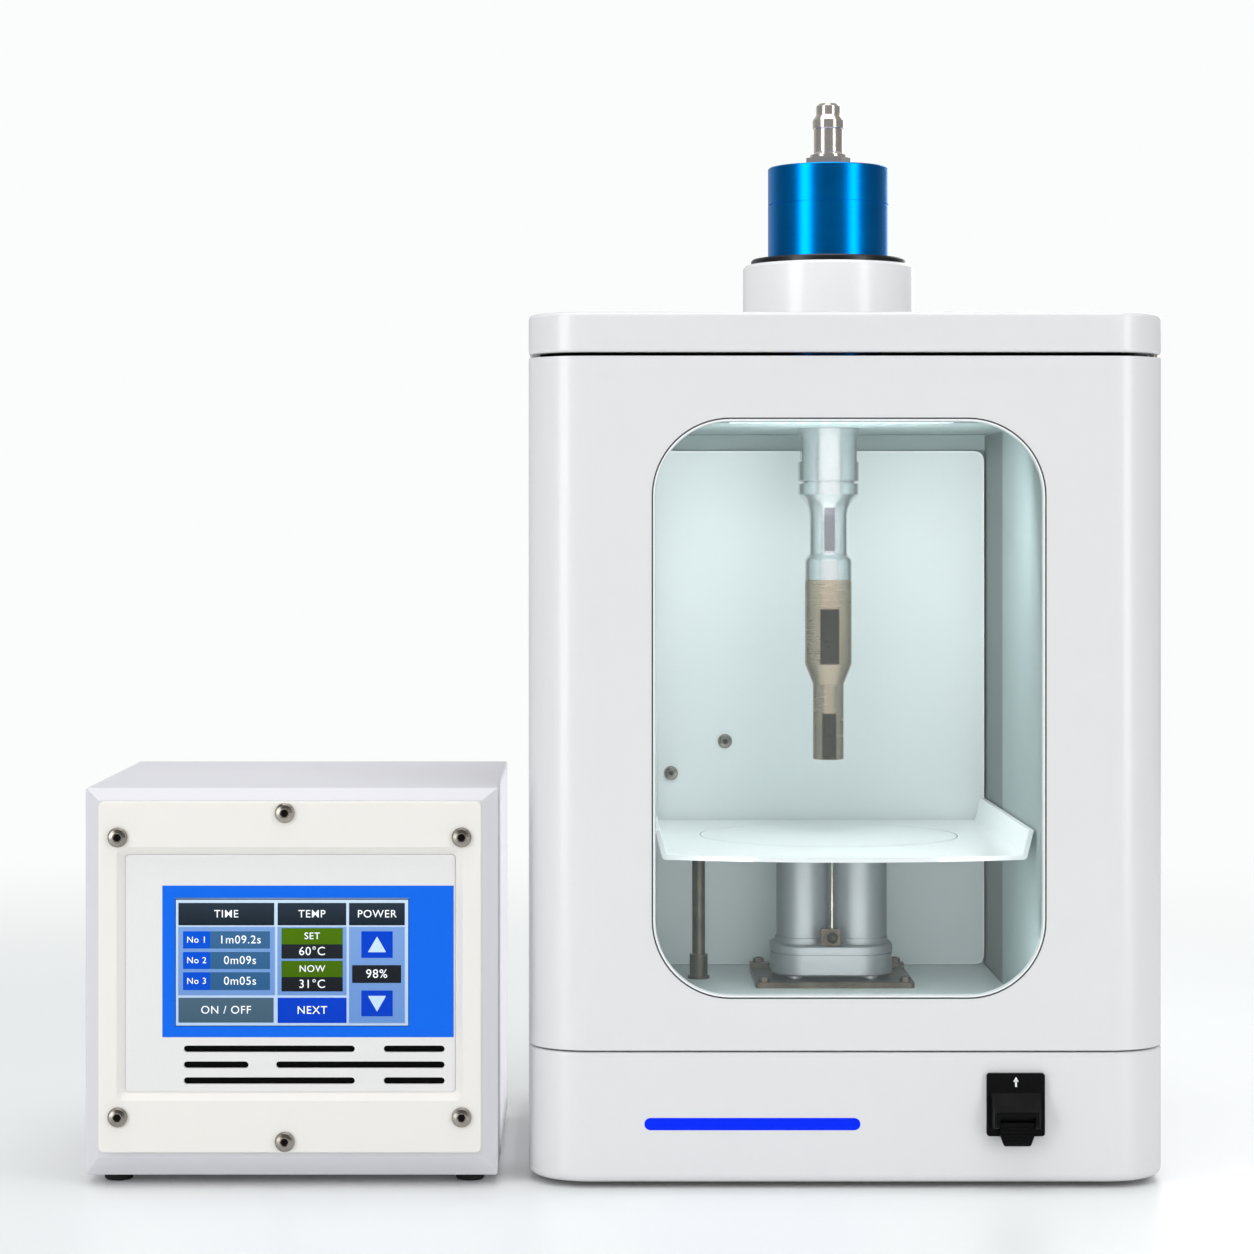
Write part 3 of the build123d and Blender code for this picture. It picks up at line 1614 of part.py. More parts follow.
with BuildPart() as generator_feet:
    feet_middle = (generator_depth + generator_foot_front - generator_foot_back) / 2
    feet_spread = generator_depth - generator_foot_front - generator_foot_back
    with BuildSketch(level(generator_x, feet_middle, 0)):
        with GridLocations(generator_width - 2 * generator_foot_inset, feet_spread, 2, 2):
            Circle(generator_foot_radius)
    extrude(amount=generator_foot_height)
    chamfer(generator_feet.edges().group_by(Axis.Z)[0], 0.8)
save(generator_feet, "generator_feet")

# Rear panel, let into the case, with openings for the fan, the power inlet and the cable socket
rear_panel_front = generator_depth - rear_panel_thickness
with BuildPart() as rear_panel:
    block(
        generator_width - 2 * case_wall - 2 * fit,
        generator_height - 2 * case_wall - 2 * fit,
        -rear_panel_thickness,
        upright(generator_x, rear_panel_front, case_middle),
    )
    disc(fan_bore, -rear_panel_thickness, upright(fan_x, rear_panel_front, fan_z), mode=Mode.SUBTRACT)
    with BuildSketch(upright(fan_x, rear_panel_front, fan_z)):
        with GridLocations(2 * fan_hole_spread, 2 * fan_hole_spread, 2, 2):
            Circle(fan_hole_radius)
    extrude(amount=-rear_panel_thickness, mode=Mode.SUBTRACT)
    block(
        inlet_width + 2 * fit,
        inlet_height + 2 * fit,
        -rear_panel_thickness,
        upright(inlet_x, rear_panel_front, inlet_z),
        mode=Mode.SUBTRACT,
    )
    disc(
        socket_radius - 1,
        -rear_panel_thickness,
        upright(generator_socket_x, rear_panel_front, inlet_z),
        mode=Mode.SUBTRACT,
    )
save(rear_panel, "rear_panel")

# Axial fan: a square frame with a motor cup on struts
fan_front = rear_panel_front - fan_thickness
with BuildPart() as fan_frame:
    block(fan_size, fan_size, -fan_thickness, upright(fan_x, fan_front, fan_z), 4)
    disc(fan_bore, -fan_thickness, upright(fan_x, fan_front, fan_z), mode=Mode.SUBTRACT)
    with BuildSketch(upright(fan_x, fan_front, fan_z)):
        with GridLocations(2 * fan_hole_spread, 2 * fan_hole_spread, 2, 2):
            Circle(fan_hole_radius)
    extrude(amount=-fan_thickness, mode=Mode.SUBTRACT)
    with BuildSketch(upright(fan_x, fan_front, fan_z)):
        Circle(fan_hub_radius)
        with PolarLocations((fan_hub_radius + fan_bore) / 2, 3, start_angle=90):
            Rectangle(fan_bore - fan_hub_radius + 2, fan_strut_width)
    extrude(amount=-fan_strut_thickness)
    disc(fan_shaft_radius, -8, upright(fan_x, fan_front + fan_strut_thickness, fan_z))
save(fan_frame, "fan_frame")

# One fan blade, lofted with more pitch at its root than at its tip
with BuildPart() as fan_blade:
    for radius, pitch in ((fan_hub_radius - 1.5, blade_root_pitch), (fan_tip_radius, blade_tip_pitch)):
        with BuildSketch(Plane((radius, 0, 0), x_dir=(0, 1, 0), z_dir=(1, 0, 0))):
            Rectangle(blade_chord, blade_thickness, rotation=pitch)
    loft()

rotor_front = fan_front + fan_strut_thickness + 0.8
rotor_thickness = fan_thickness - fan_strut_thickness - 1.4
with BuildPart() as fan_rotor:
    rotor_section = [
        (fan_shaft_radius + running_fit, 2),
        (fan_hub_radius - 2, 2),
        (fan_hub_radius - 2, 0),
        (fan_hub_radius, 0),
        (fan_hub_radius, rotor_thickness - 1),
        (fan_hub_radius - 1, rotor_thickness),
        (0, rotor_thickness),
        (0, rotor_thickness - 2),
        (fan_shaft_radius + running_fit, rotor_thickness - 2),
    ]
    turned_back(rotor_section, fan_x, rotor_front, fan_z)
    blade_middle = rotor_front + rotor_thickness / 2
    with Locations(upright(fan_x, blade_middle, fan_z)):
        with PolarLocations(0, fan_blade_count):
            add(fan_blade.part)
save(fan_rotor, "fan_rotor")

# Finger guard over the fan: flat rings on four spokes, with an eye at each corner screw
with BuildPart() as fan_guard:
    with BuildSketch(upright(fan_x, generator_depth, fan_z)):
        for index in range(guard_ring_count):
            ring_middle = guard_inner + index * guard_pitch
            Circle(ring_middle + guard_wire / 2)
            Circle(ring_middle - guard_wire / 2, mode=Mode.SUBTRACT)
        with PolarLocations(spoke_middle, 4, start_angle=45):
            Rectangle(spoke_length, guard_wire)
        with GridLocations(2 * fan_hole_spread, 2 * fan_hole_spread, 2, 2):
            Circle(2 * fan_hole_radius)
    extrude(amount=-guard_wire)
save(fan_guard, "fan_guard")

# Power inlet with its switch frame, as one moulding through the rear panel
cavity_drop = 10.0
rocker_rise = 13.0
cavity_width = 23.0
cavity_height = 15.5
cavity_depth = 15.0
cavity_z = inlet_z - cavity_drop
rocker_z = inlet_z + rocker_rise
rocker_width = 19.0
rocker_height = 13.0
rocker_gap = 0.4
rocker_pocket = 12.0
rocker_set_back = 3.0
rocker_pivot_depth = generator_depth - rocker_set_back
with BuildPart() as power_inlet:
    block(inlet_width, inlet_height, inlet_depth, upright(inlet_x, generator_depth, inlet_z))
    block(
        inlet_width + 2 * inlet_flange,
        inlet_height + 2 * inlet_flange,
        -sheet,
        upright(inlet_x, generator_depth, inlet_z),
        2,
    )
    block(
        cavity_width,
        cavity_height,
        cavity_depth + sheet,
        upright(inlet_x, generator_depth + sheet, cavity_z),
        2,
        mode=Mode.SUBTRACT,
    )
    for pin_shift, pin_rise in ((-7, -2), (7, -2), (0, 2)):
        block(2, 4, -11, upright(inlet_x + pin_shift, generator_depth - cavity_depth, cavity_z + pin_rise))
    block(
        rocker_width,
        rocker_height,
        rocker_pocket,
        upright(inlet_x, generator_depth + sheet, rocker_z),
        mode=Mode.SUBTRACT,
    )
    disc(
        pivot_pin_radius + running_fit,
        rocker_width + 2 * (pivot_pin_length + fit),
        sideways(inlet_x - rocker_width / 2 - pivot_pin_length - fit, rocker_pivot_depth, rocker_z),
        mode=Mode.SUBTRACT,
    )
save(power_inlet, "power_inlet")

# Rocker of the power switch, a shallow V that turns on pins in its middle
with BuildPart() as power_rocker:
    rocker_half = rocker_height / 2 - 0.5
    tilt = math.radians(rocker_tilt)
    rocker_plane = Plane(
        (inlet_x - rocker_width / 2 + rocker_gap, front_y + rocker_pivot_depth, rocker_z),
        x_dir=(0, math.cos(tilt), math.sin(tilt)),
        z_dir=(1, 0, 0),
    )
    with BuildSketch(rocker_plane):
        with BuildLine():
            Polyline(
                (-4.5, -2),
                (-4.5, 2),
                (-1, rocker_half - 0.5),
                (5.6, rocker_half - 0.8),
                (4.6, 0),
                (5.6, -rocker_half + 0.8),
                (-1, -rocker_half + 0.5),
                close=True,
            )
        make_face()
    extrude(amount=rocker_width - 2 * rocker_gap)
    disc(
        pivot_pin_radius,
        rocker_width + 2 * pivot_pin_length,
        sideways(inlet_x - rocker_width / 2 - pivot_pin_length, rocker_pivot_depth, rocker_z),
    )
save(power_rocker, "power_rocker")

# Power board on the case's floor: the board on four posts, a transformer and a row of capacitors
board_z = generator_foot_height + case_wall + board_standoff
board_width = generator_width - 2 * board_side_gap
board_depth = generator_depth - board_front_gap - board_back_gap
board_middle = (generator_depth + board_front_gap - board_back_gap) / 2
parts_z = board_z + board_thickness
with BuildPart() as power_board:
    board_plane = level(generator_x, board_middle, board_z)
    block(board_width, board_depth, board_thickness, board_plane)
    with BuildSketch(board_plane):
        with GridLocations(board_width - 2 * board_post_inset, board_depth - 2 * board_post_inset, 2, 2):
            Circle(board_post_radius)
    extrude(amount=-board_standoff)
    parts_x = generator_x - board_part_shift
    block(
        transformer_width,
        transformer_depth,
        transformer_height,
        level(parts_x, board_middle + board_part_spread, parts_z),
        3,
    )
    with BuildSketch(level(parts_x, board_middle - board_part_spread, parts_z)):
        with GridLocations(capacitor_pitch, 0, capacitor_count, 1):
            Circle(capacitor_radius)
    extrude(amount=capacitor_height)
save(power_board, "power_board")

# Finned heat sink on the power board
with BuildPart() as heat_sink:
    sink_plane = level(generator_x + sink_shift, board_middle, parts_z)
    block(sink_width, sink_length, sink_base, sink_plane)
    with BuildSketch(sink_plane):
        with GridLocations(sink_width / sink_fin_count, 0, sink_fin_count, 1):
            Rectangle(sink_fin, sink_length)
    extrude(amount=sink_height)
save(heat_sink, "heat_sink")
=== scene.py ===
"""A probe sonicator: a generator box with a touch screen beside a sound-proof probe cabinet."""

import json
import math

import bmesh
import bpy
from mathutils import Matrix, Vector


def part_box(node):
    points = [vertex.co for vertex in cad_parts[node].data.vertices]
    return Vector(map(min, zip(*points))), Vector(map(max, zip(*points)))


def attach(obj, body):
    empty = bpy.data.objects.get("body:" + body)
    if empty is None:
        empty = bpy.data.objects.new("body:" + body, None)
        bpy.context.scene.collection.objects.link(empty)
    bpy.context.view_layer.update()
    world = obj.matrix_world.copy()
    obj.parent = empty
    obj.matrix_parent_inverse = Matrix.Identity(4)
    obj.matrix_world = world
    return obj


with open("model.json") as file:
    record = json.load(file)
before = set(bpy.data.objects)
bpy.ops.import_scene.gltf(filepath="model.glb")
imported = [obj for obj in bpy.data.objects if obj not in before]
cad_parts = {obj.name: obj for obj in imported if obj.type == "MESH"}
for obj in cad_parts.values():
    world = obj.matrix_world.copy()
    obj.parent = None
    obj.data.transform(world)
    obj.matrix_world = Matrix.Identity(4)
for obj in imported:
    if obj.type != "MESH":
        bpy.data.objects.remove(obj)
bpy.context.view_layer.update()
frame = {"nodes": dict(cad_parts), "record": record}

mm = 0.001
LOW, HIGH = 0, 1
FULL_TURN = 2 * math.pi
FACING_FRONT = (math.pi / 2, 0, 0)

# Where the photograph was taken from, and the width it shows at the fronts, in metres
camera_distance = 1.712
camera_x = -0.019
camera_z = 0.338
front_width = 0.6533

# The photograph's width and its vanishing point in pixels, and the sensor's width in millimetres
photo_width = 1254
axis_column = 590
axis_row = 540
sensor = 36.0

# Places read from the frame
front_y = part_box("front_door")[LOW].y
base_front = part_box("cabinet_base")[LOW].y
lid_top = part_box("cabinet_lid")[HIGH].z
wall_low, wall_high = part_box("chamber_walls")
glass_low, glass_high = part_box("window_gasket")
switch_low, switch_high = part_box("switch_plate")
probe_low, probe_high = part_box("probe_tip")
probe_x = (probe_low.x + probe_high.x) / 2
probe_y = (probe_low.y + probe_high.y) / 2

# The display lies inside the touch screen's rim
screen_low, screen_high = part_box("touch_screen")
screen_face = screen_low.y
screen_rim = 4 * mm
display_left = screen_low.x + screen_rim
display_low = screen_low.z + screen_rim
display_right = screen_high.x - screen_rim
display_high = screen_high.z - screen_rim


def tint(red, green, blue, alpha=1.0):
    """A colour as the screen shows it, 0 to 255, in the linear values that a shader takes."""

    def linear(level):
        level /= 255
        return level / 12.92 if level <= 0.04045 else ((level + 0.055) / 1.055) ** 2.4

    return (linear(red), linear(green), linear(blue), alpha)


# Materials


class Value:
    """A number or a colour that changes over a surface. Sums on it add Math nodes to its graph."""

    def __init__(self, graph, socket):
        self.graph = graph
        self.socket = socket

    def reckon(self, operation, *terms):
        return self.graph.node("ShaderNodeMath", {"operation": operation}, *terms)

    def __add__(self, other):
        return self.reckon("ADD", self, other)

    def __radd__(self, other):
        return self.reckon("ADD", other, self)

    def __sub__(self, other):
        return self.reckon("SUBTRACT", self, other)

    def __rsub__(self, other):
        return self.reckon("SUBTRACT", other, self)

    def __mul__(self, other):
        return self.reckon("MULTIPLY", self, other)

    def __pow__(self, other):
        return self.reckon("POWER", self, other)

    def __truediv__(self, other):
        return self.reckon("DIVIDE", self, other)

    def __abs__(self):
        return self.reckon("ABSOLUTE", self)

    def wave(self):
        return self.reckon("SINE", self)

    def lines(self, pitch):
        """A wave from -1 to 1 and back, once every pitch."""
        return (self * (FULL_TURN / pitch)).wave()

    def over(self, edge, soft=0.1 * mm):
        """0 below the edge and 1 above it, with a soft step between."""
        smooth = {"interpolation_type": "SMOOTHSTEP"}
        return self.graph.node("ShaderNodeMapRange", smooth, self, edge - soft, edge + soft)

    def within(self, low, high, soft=0.1 * mm):
        """1 between the two edges and 0 outside them."""
        return self.over(low, soft) * (1 - self.over(high, soft))


class Graph:
    """A node tree being made. Each node comes back as the Value of one of its outputs."""

    def __init__(self, tree):
        self.tree = tree

    def node(self, kind, settings, *inputs, output=0, **named):
        """A node of any kind: its settings first, then its sockets by order or by name."""
        made = self.tree.nodes.new(kind)
        for key, setting in settings.items():
            setattr(made, key, setting)
        for socket, given in zip(made.inputs, inputs):
            self.feed(socket, given)
        for key, given in named.items():
            self.feed(made.inputs[key.replace("_", " ")], given)
        return Value(self, made.outputs[output])

    def feed(self, socket, given):
        """Links a socket to a changing value, or sets it to a fixed one."""
        if isinstance(given, Value):
            given = given.socket
        if isinstance(given, bpy.types.NodeSocket):
            self.tree.links.new(given, socket)
        else:
            socket.default_value = given


class Finish(Graph):
    """A material being made, with its shader and the place on the piece as x, y and z."""

    # The sockets that the Mix node uses for colours
    MIX_FACTOR, MIX_FIRST, MIX_SECOND, MIX_RESULT = 0, 6, 7, 2

    def __init__(self, name):
        self.material = bpy.data.materials.new(name)
        self.material.use_nodes = True
        super().__init__(self.material.node_tree)
        self.shader = self.tree.nodes["Principled BSDF"]
        self.place = self.node("ShaderNodeTexCoord", {}, output="Object")

    def axes(self):
        """The place on the piece as three numbers, in metres."""
        parts = self.tree.nodes.new("ShaderNodeSeparateXYZ")
        self.feed(parts.inputs[0], self.place)
        return [Value(self, output) for output in parts.outputs]

    def noise(self, scale, detail=2.0, place=None):
        """Cloudy noise from 0 to 1, with scale in lumps per metre."""
        return self.node(
            "ShaderNodeTexNoise", {}, Vector=place or self.place,
            Scale=scale, Detail=detail, Roughness=0.5,
        )

    def drawn_noise(self, detail, *scales):
        """Noise with its own lumps per metre along x, y and z."""
        x, y, z = (axis * scale for axis, scale in zip(self.axes(), scales))
        return self.noise(1.0, detail, self.node("ShaderNodeCombineXYZ", {}, x, y, z))

    def blend(self, mask, first, second):
        """The first colour where the mask is 0 and the second where it is 1."""
        made = self.tree.nodes.new("ShaderNodeMix")
        made.data_type = "RGBA"
        self.feed(made.inputs[self.MIX_FACTOR], mask)
        self.feed(made.inputs[self.MIX_FIRST], first)
        self.feed(made.inputs[self.MIX_SECOND], second)
        return Value(self, made.outputs[self.MIX_RESULT])

    def relief(self, height, depth, strength):
        """Shades the surface as if height times depth, in metres, stood on it."""
        bump = self.node("ShaderNodeBump", {}, Strength=strength, Distance=depth, Height=height)
        self.feed(self.shader.inputs["Normal"], bump)

    def set(self, **sockets):
        """Sets shader sockets by name, to a number, a colour or a changing value."""
        for key, given in sockets.items():
            self.feed(self.shader.inputs[key.replace("_", " ")], given)
        return self.material


def from_probe(x, y):
    """How far a place lies from the probe's axis."""
    return ((x - probe_x) ** 2 + (y - probe_y) ** 2) ** 0.5


def painted(name, colour, gloss, peel=0.02 * mm, grain=1400, lacquer=0.0, above=None):
    """Sprayed and baked paint: a faint peel, and tone and gloss that drift a little.

    With above, a height and a colour, everything over that height has the other colour, a painted
    highlight.
    """
    coat = Finish(name)
    tone_with_highlight = colour
    # A painted highlight: the colour over the given height is lighter
    if above:
        height, highlight_colour = above
        tone_with_highlight = coat.blend(coat.axes()[2].over(height, 0.5 * mm), colour, highlight_colour)
    drift = coat.noise(7, 3)
    peel_lumps = coat.noise(grain, 2)
    darker = tuple(channel * 0.955 for channel in colour[:3]) + (1,)
    coat.relief(peel_lumps + drift * 2, peel, 0.35)
    return coat.set(
        Base_Color=coat.blend(drift * 0.7 + peel_lumps * 0.3, tone_with_highlight, darker),
        Roughness=gloss + drift * 0.08 - 0.04 + peel_lumps * 0.04,
        Coat_Weight=lacquer,
        Coat_Roughness=0.16,
    )


def cabinet_paint():
    """Light grey, nearly white from the lid's top face up: a painted highlight on the collar."""
    # Painted highlight on the collar over the lid
    lid = (lid_top, tint(245, 245, 246))
    return painted("cabinet_paint", tint(228, 228, 229), gloss=0.34, lacquer=0.5, above=lid)


def case_paint():
    return painted("case_paint", tint(219, 218, 223), gloss=0.44, peel=0.04 * mm, grain=900)


def bezel_paint():
    return painted("bezel_paint", tint(238, 235, 229), gloss=0.42)


def grey_steel():
    return painted("grey_steel", tint(148, 151, 154), gloss=0.5, peel=0.05 * mm, grain=800)


def chamber_paint():
    """Gloss mint enamel with painted shade: darker on the sides, most towards the back, on the
    roof, over the back panel and low down, where it is also duller.
    """
    # The top of the painted shade low down, and the back panel's top
    low_shade_height, panel_top = 150 * mm, 360 * mm
    coat = Finish("chamber_paint")
    x, y, z = coat.axes()
    drift = coat.noise(9, 3)
    # Painted shade low down, under the table
    low_shade = 1 - z.over(low_shade_height, 60 * mm)
    # Painted shade on the side walls with a painted shadow towards their back, and painted shade on
    # the roof and over the back panel
    sides = abs(x - probe_x).over(wall_high.x - probe_x - 3 * mm, 1 * mm)
    rear_shadow = y.over(wall_high.y - 88 * mm, 6 * mm)
    roof = z.over(wall_high.z - 0.5 * mm, 0.3 * mm)
    shadow_above_panel = y.over(wall_high.y - 2.2 * mm) * z.over(panel_top, 10 * mm)
    shade = roof + shadow_above_panel - roof * shadow_above_panel
    # The mint, then the mint in painted shade low down, on the sides and on the roof
    unshaded = coat.blend(drift, tint(232, 238, 238), tint(226, 234, 234))
    facing = coat.blend(low_shade * 0.3, unshaded, tint(196, 210, 210))
    side = coat.blend(rear_shadow, tint(138, 153, 153), tint(88, 100, 100))
    coat.relief(coat.noise(700, 2) + drift, 0.02 * mm, 0.3)
    return coat.set(
        Base_Color=coat.blend(shade, coat.blend(sides, facing, side), tint(156, 171, 171)),
        Roughness=0.3 + drift * 0.08 + low_shade * 0.06 + sides * 0.2 + roof * 0.35,
    )


def table_enamel():
    """White gloss enamel with a fine grey line where the disc meets the table."""
    seam_inside, seam_outside = 72.1 * mm, 73.3 * mm
    coat = Finish("table_enamel")
    x, y, _ = coat.axes()
    drift = coat.noise(14, 3)
    seam = from_probe(x, y).within(seam_inside, seam_outside, 0.3 * mm)
    white = coat.blend(drift, tint(246, 250, 250), tint(240, 246, 246))
    coat.relief(coat.noise(600, 2) + drift, 0.02 * mm, 0.25)
    return coat.set(
        Base_Color=coat.blend(seam * 0.7, white, tint(120, 130, 130)),
        Roughness=0.22 + drift * 0.07 + seam * 0.2,
    )


def grey_foam():
    """Open foam: small cells and slow lumps."""
    foam = Finish("grey_foam")
    cells = foam.node("ShaderNodeTexVoronoi", {"feature": "F1"}, Vector=foam.place, Scale=420)
    foam.relief(cells + foam.noise(60, 2), 0.8 * mm, 0.7)
    return foam.set(
        Base_Color=foam.blend(cells * 1.6, tint(58, 60, 63), tint(96, 98, 102)),
        Roughness=0.95 - cells * 0.1,
    )


def rubber(name, dark, light, grain):
    """Moulded rubber with a paler bloom in patches."""
    soft = Finish(name)
    bloom = soft.noise(45, 3)
    soft.relief(soft.noise(grain, 2), 0.05 * mm, 0.5)
    return soft.set(
        Base_Color=soft.blend(bloom.over(0.5, 0.3), dark, light),
        Roughness=0.72 + bloom * 0.14,
    )


def black_rubber():
    return rubber("black_rubber", tint(20, 20, 21), tint(38, 38, 40), 1500)


def seal_rubber():
    return rubber("seal_rubber", tint(196, 202, 203), tint(214, 220, 221), 1800)


def black_plastic():
    """Black moulding with a fine spark texture and rubbed, shinier patches."""
    moulding = Finish("black_plastic")
    spark = moulding.noise(2600, 2)
    rubbed = moulding.noise(55, 2).over(0.52, 0.2)
    moulding.relief(spark, 0.05 * mm, 0.5)
    return moulding.set(
        Base_Color=moulding.blend(spark, tint(2, 2, 3), tint(9, 9, 10)),
        Roughness=0.4 + spark * 0.14 - rubbed * 0.12,
        Specular_IOR_Level=0.12,
    )


def ring_plastic():
    """Turned black ring: fine tool lines round its axis."""
    tool_pitch = FULL_TURN / 9000
    ring = Finish("ring_plastic")
    x, y, z = ring.axes()
    dust = ring.noise(120, 3)
    ring.relief((from_probe(x, y) + z).lines(tool_pitch), 0.004 * mm, 0.4)
    return ring.set(
        Base_Color=ring.blend(dust, tint(12, 12, 14), tint(27, 27, 30)),
        Roughness=0.26 + dust * 0.12,
    )


def turned(name, dark, light, gloss, pitch, streak=0.5, metal=1.0, dark_reflection_strips=(), reflection_tone=None):
    """Metal from a lathe: tool lines a pitch apart, broken by streaks, with darker flats that are
    painted dark reflections.

    Each dark strip given is its half width across the probe's axis, its low end and its high end.
    """
    work = Finish(name)
    x, y, z = work.axes()
    streaks = work.drawn_noise(3, 12, 12, 900)
    cloud = work.noise(38, 3)
    tool_lines = (z + from_probe(x, y)).lines(pitch)
    work.relief(tool_lines * 0.5 + streaks, 0.001 * mm, 0.04)
    tone = work.blend(streaks * streak + cloud * (1 - streak), dark, light)
    # Painted dark reflections: strips down the front and back of the axis
    for half, low, high in dark_reflection_strips:
        dark_reflection = (x - probe_x).within(-half, half, 0.4 * mm) * z.within(low, high, 0.6 * mm)
        tone = work.blend(dark_reflection * 0.95, tone, reflection_tone)
    return work.set(
        Base_Color=tone,
        Metallic=metal,
        Roughness=gloss + streaks * 0.02 + cloud * 0.04 - 0.03,
    )


def blue_anodised():
    return turned(
        "blue_anodised", tint(0, 128, 222), tint(0, 150, 242),
        gloss=0.29, pitch=0.6 * mm, streak=0.3,
    )


def nickel_plate():
    return turned(
        "nickel_plate", tint(214, 204, 194), tint(236, 227, 218),
        gloss=0.18, pitch=0.8 * mm, streak=0.3, metal=0.78,
    )


def turned_aluminium():
    return turned(
        "turned_aluminium", tint(216, 218, 220), tint(232, 234, 236),
        gloss=0.24, pitch=0.7 * mm, streak=0.15, metal=0.92,
        # Painted dark reflection down the front and back of the horn
        dark_reflection_strips=[(3 * mm, 331.8 * mm, 356.3 * mm)], reflection_tone=tint(140, 140, 147),
    )


def titanium():
    return turned(
        "titanium", tint(158, 142, 124), tint(184, 168, 149),
        gloss=0.27, pitch=0.9 * mm, streak=0.25, metal=0.8,
        # Painted dark reflections down the front and back of the titanium probe
        dark_reflection_strips=[(5.4 * mm, 268 * mm, 299 * mm), (4 * mm, 214 * mm, 240 * mm)],
        reflection_tone=tint(36, 31, 25),
    )


def cast_aluminium():
    """Bead-blasted casting: pale, even and slightly grainy."""
    cast = Finish("cast_aluminium")
    grains = cast.noise(2200, 3)
    cloud = cast.noise(30, 3)
    cast.relief(grains, 0.05 * mm, 0.5)
    return cast.set(
        Base_Color=cast.blend(grains * 0.5 + cloud * 0.5, tint(136, 139, 142), tint(166, 169, 172)),
        Metallic=0.6,
        Roughness=0.4 + grains * 0.12,
    )


def worn_steel(name, dark, light, gloss):
    """Machined steel, marked by handling: short scratches and a cloudy tarnish."""
    steel = Finish(name)
    scratches = steel.drawn_noise(4, 40, 900, 900)
    tarnish = steel.noise(70, 4)
    steel.relief(scratches, 0.01 * mm, 0.5)
    return steel.set(
        Base_Color=steel.blend(tarnish.over(0.5, 0.25), dark, light),
        Metallic=1.0,
        Roughness=gloss + scratches * 0.12 + tarnish * 0.08 - 0.06,
    )


def dark_steel():
    return worn_steel("dark_steel", tint(50, 45, 38), tint(80, 72, 62), gloss=0.32)


def bright_steel():
    return worn_steel("bright_steel", tint(136, 130, 122), tint(172, 166, 158), gloss=0.22)


def piezo_ceramic():
    """Pale fired ceramic with silver electrode faces between the rings."""
    ring_count = 4
    stack_low, stack_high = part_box("piezo_rings")
    pitch = (stack_high.z - stack_low.z) / ring_count
    ring = Finish("piezo_ceramic")
    grains = ring.noise(1600, 2)
    fired = abs((ring.axes()[2] - stack_low.z).lines(2 * pitch)).over(0.18, 0.06)
    ceramic = ring.blend(grains, tint(188, 178, 160), tint(206, 197, 180))
    ring.relief(grains, 0.04 * mm, 0.4)
    return ring.set(
        Base_Color=ring.blend(fired, tint(206, 206, 204), ceramic),
        Metallic=0.8 - fired * 0.8,
        Roughness=0.5 + grains * 0.2,
    )


def lamp_lens():
    """Opal strip with a row of soft bright spots from the lamps behind it."""
    lamp_pitch, rib_pitch = 12 * mm, 1.5 * mm
    lens = Finish("lamp_lens")
    across = lens.axes()[0] - probe_x
    spots = (across.lines(lamp_pitch) * 0.5 + 0.5) ** 2
    ribs = across.lines(rib_pitch)
    lens.relief(ribs, 0.06 * mm, 0.5)
    return lens.set(
        Base_Color=lens.blend(spots, tint(226, 236, 238), tint(245, 250, 252)),
        Emission_Color=lens.blend(spots, tint(206, 226, 232), tint(248, 254, 255)),
        Emission_Strength=0.9,
        Roughness=0.4 + ribs * 0.05,
    )


def window_glass():
    """Clear sheet with a green cast, and a haze that is only just there."""
    pane = Finish("window_glass")
    haze = pane.noise(18, 3)
    wipe = pane.drawn_noise(2, 30, 1, 8)
    return pane.set(
        Base_Color=pane.blend(haze, tint(228, 243, 241), tint(236, 247, 245)),
        Alpha=0.025 + haze * 0.015 + wipe * 0.01,
        Roughness=0.03 + wipe * 0.05,
        Specular_IOR_Level=0.6,
    )


def panel_plastic():
    """The generator's front film: pale, with the blue field printed round the screen."""
    left_margin, right_margin, low_margin, high_margin = 6.7 * mm, 23.5 * mm, 5.7 * mm, 6.3 * mm
    film = Finish("panel_plastic")
    x, _, z = film.axes()
    grain = film.noise(1700, 2)
    printed = (
        x.within(display_left - left_margin, display_right + right_margin)
        * z.within(display_low - low_margin, display_high + high_margin)
    )
    pale = film.blend(grain, tint(233, 232, 231), tint(225, 224, 223))
    blue = film.blend(grain, tint(0, 108, 238), tint(0, 100, 229))
    film.relief(grain, 0.03 * mm, 0.35)
    return film.set(
        Base_Color=film.blend(printed, pale, blue),
        Roughness=0.4 + grain * 0.1 - printed * 0.08,
        Specular_IOR_Level=0.2,
    )


def screen_glass():
    """Touch glass, with the display's blue glow and its fine rows of dots behind it."""
    row_pitch = 0.4 * mm
    screen = Finish("screen_glass")
    streaks = screen.drawn_noise(3, 14, 1, 60)
    height = screen.axes()[2] - (display_low + display_high) / 2
    rows = height.lines(row_pitch) * 0.5 + 0.5
    field = screen.blend(streaks, tint(38, 62, 104), tint(120, 156, 204))
    return screen.set(
        Base_Color=field,
        Emission_Color=screen.blend(rows * 0.12, field, tint(10, 20, 40)),
        Emission_Strength=0.35,
        Roughness=0.16 + streaks * 0.04,
        Coat_Weight=0.5 + streaks * 0.1,
        Coat_Roughness=0.04,
    )


def circuit_board():
    """Green lacquer over copper tracks that wander a little."""
    board = Finish("circuit_board")
    x, y, _ = board.axes()
    tracks = abs((x * 1500 + (y * 300).wave() * 2).wave()).over(0.75, 0.1)
    mottle = board.noise(200, 2)
    copper = board.blend(mottle, tint(48, 118, 74), tint(30, 96, 58))
    board.relief(tracks, 0.04 * mm, 0.5)
    return board.set(
        Base_Color=board.blend(tracks * 0.6, tint(18, 74, 44), copper),
        Roughness=0.4 + mottle * 0.15,
    )


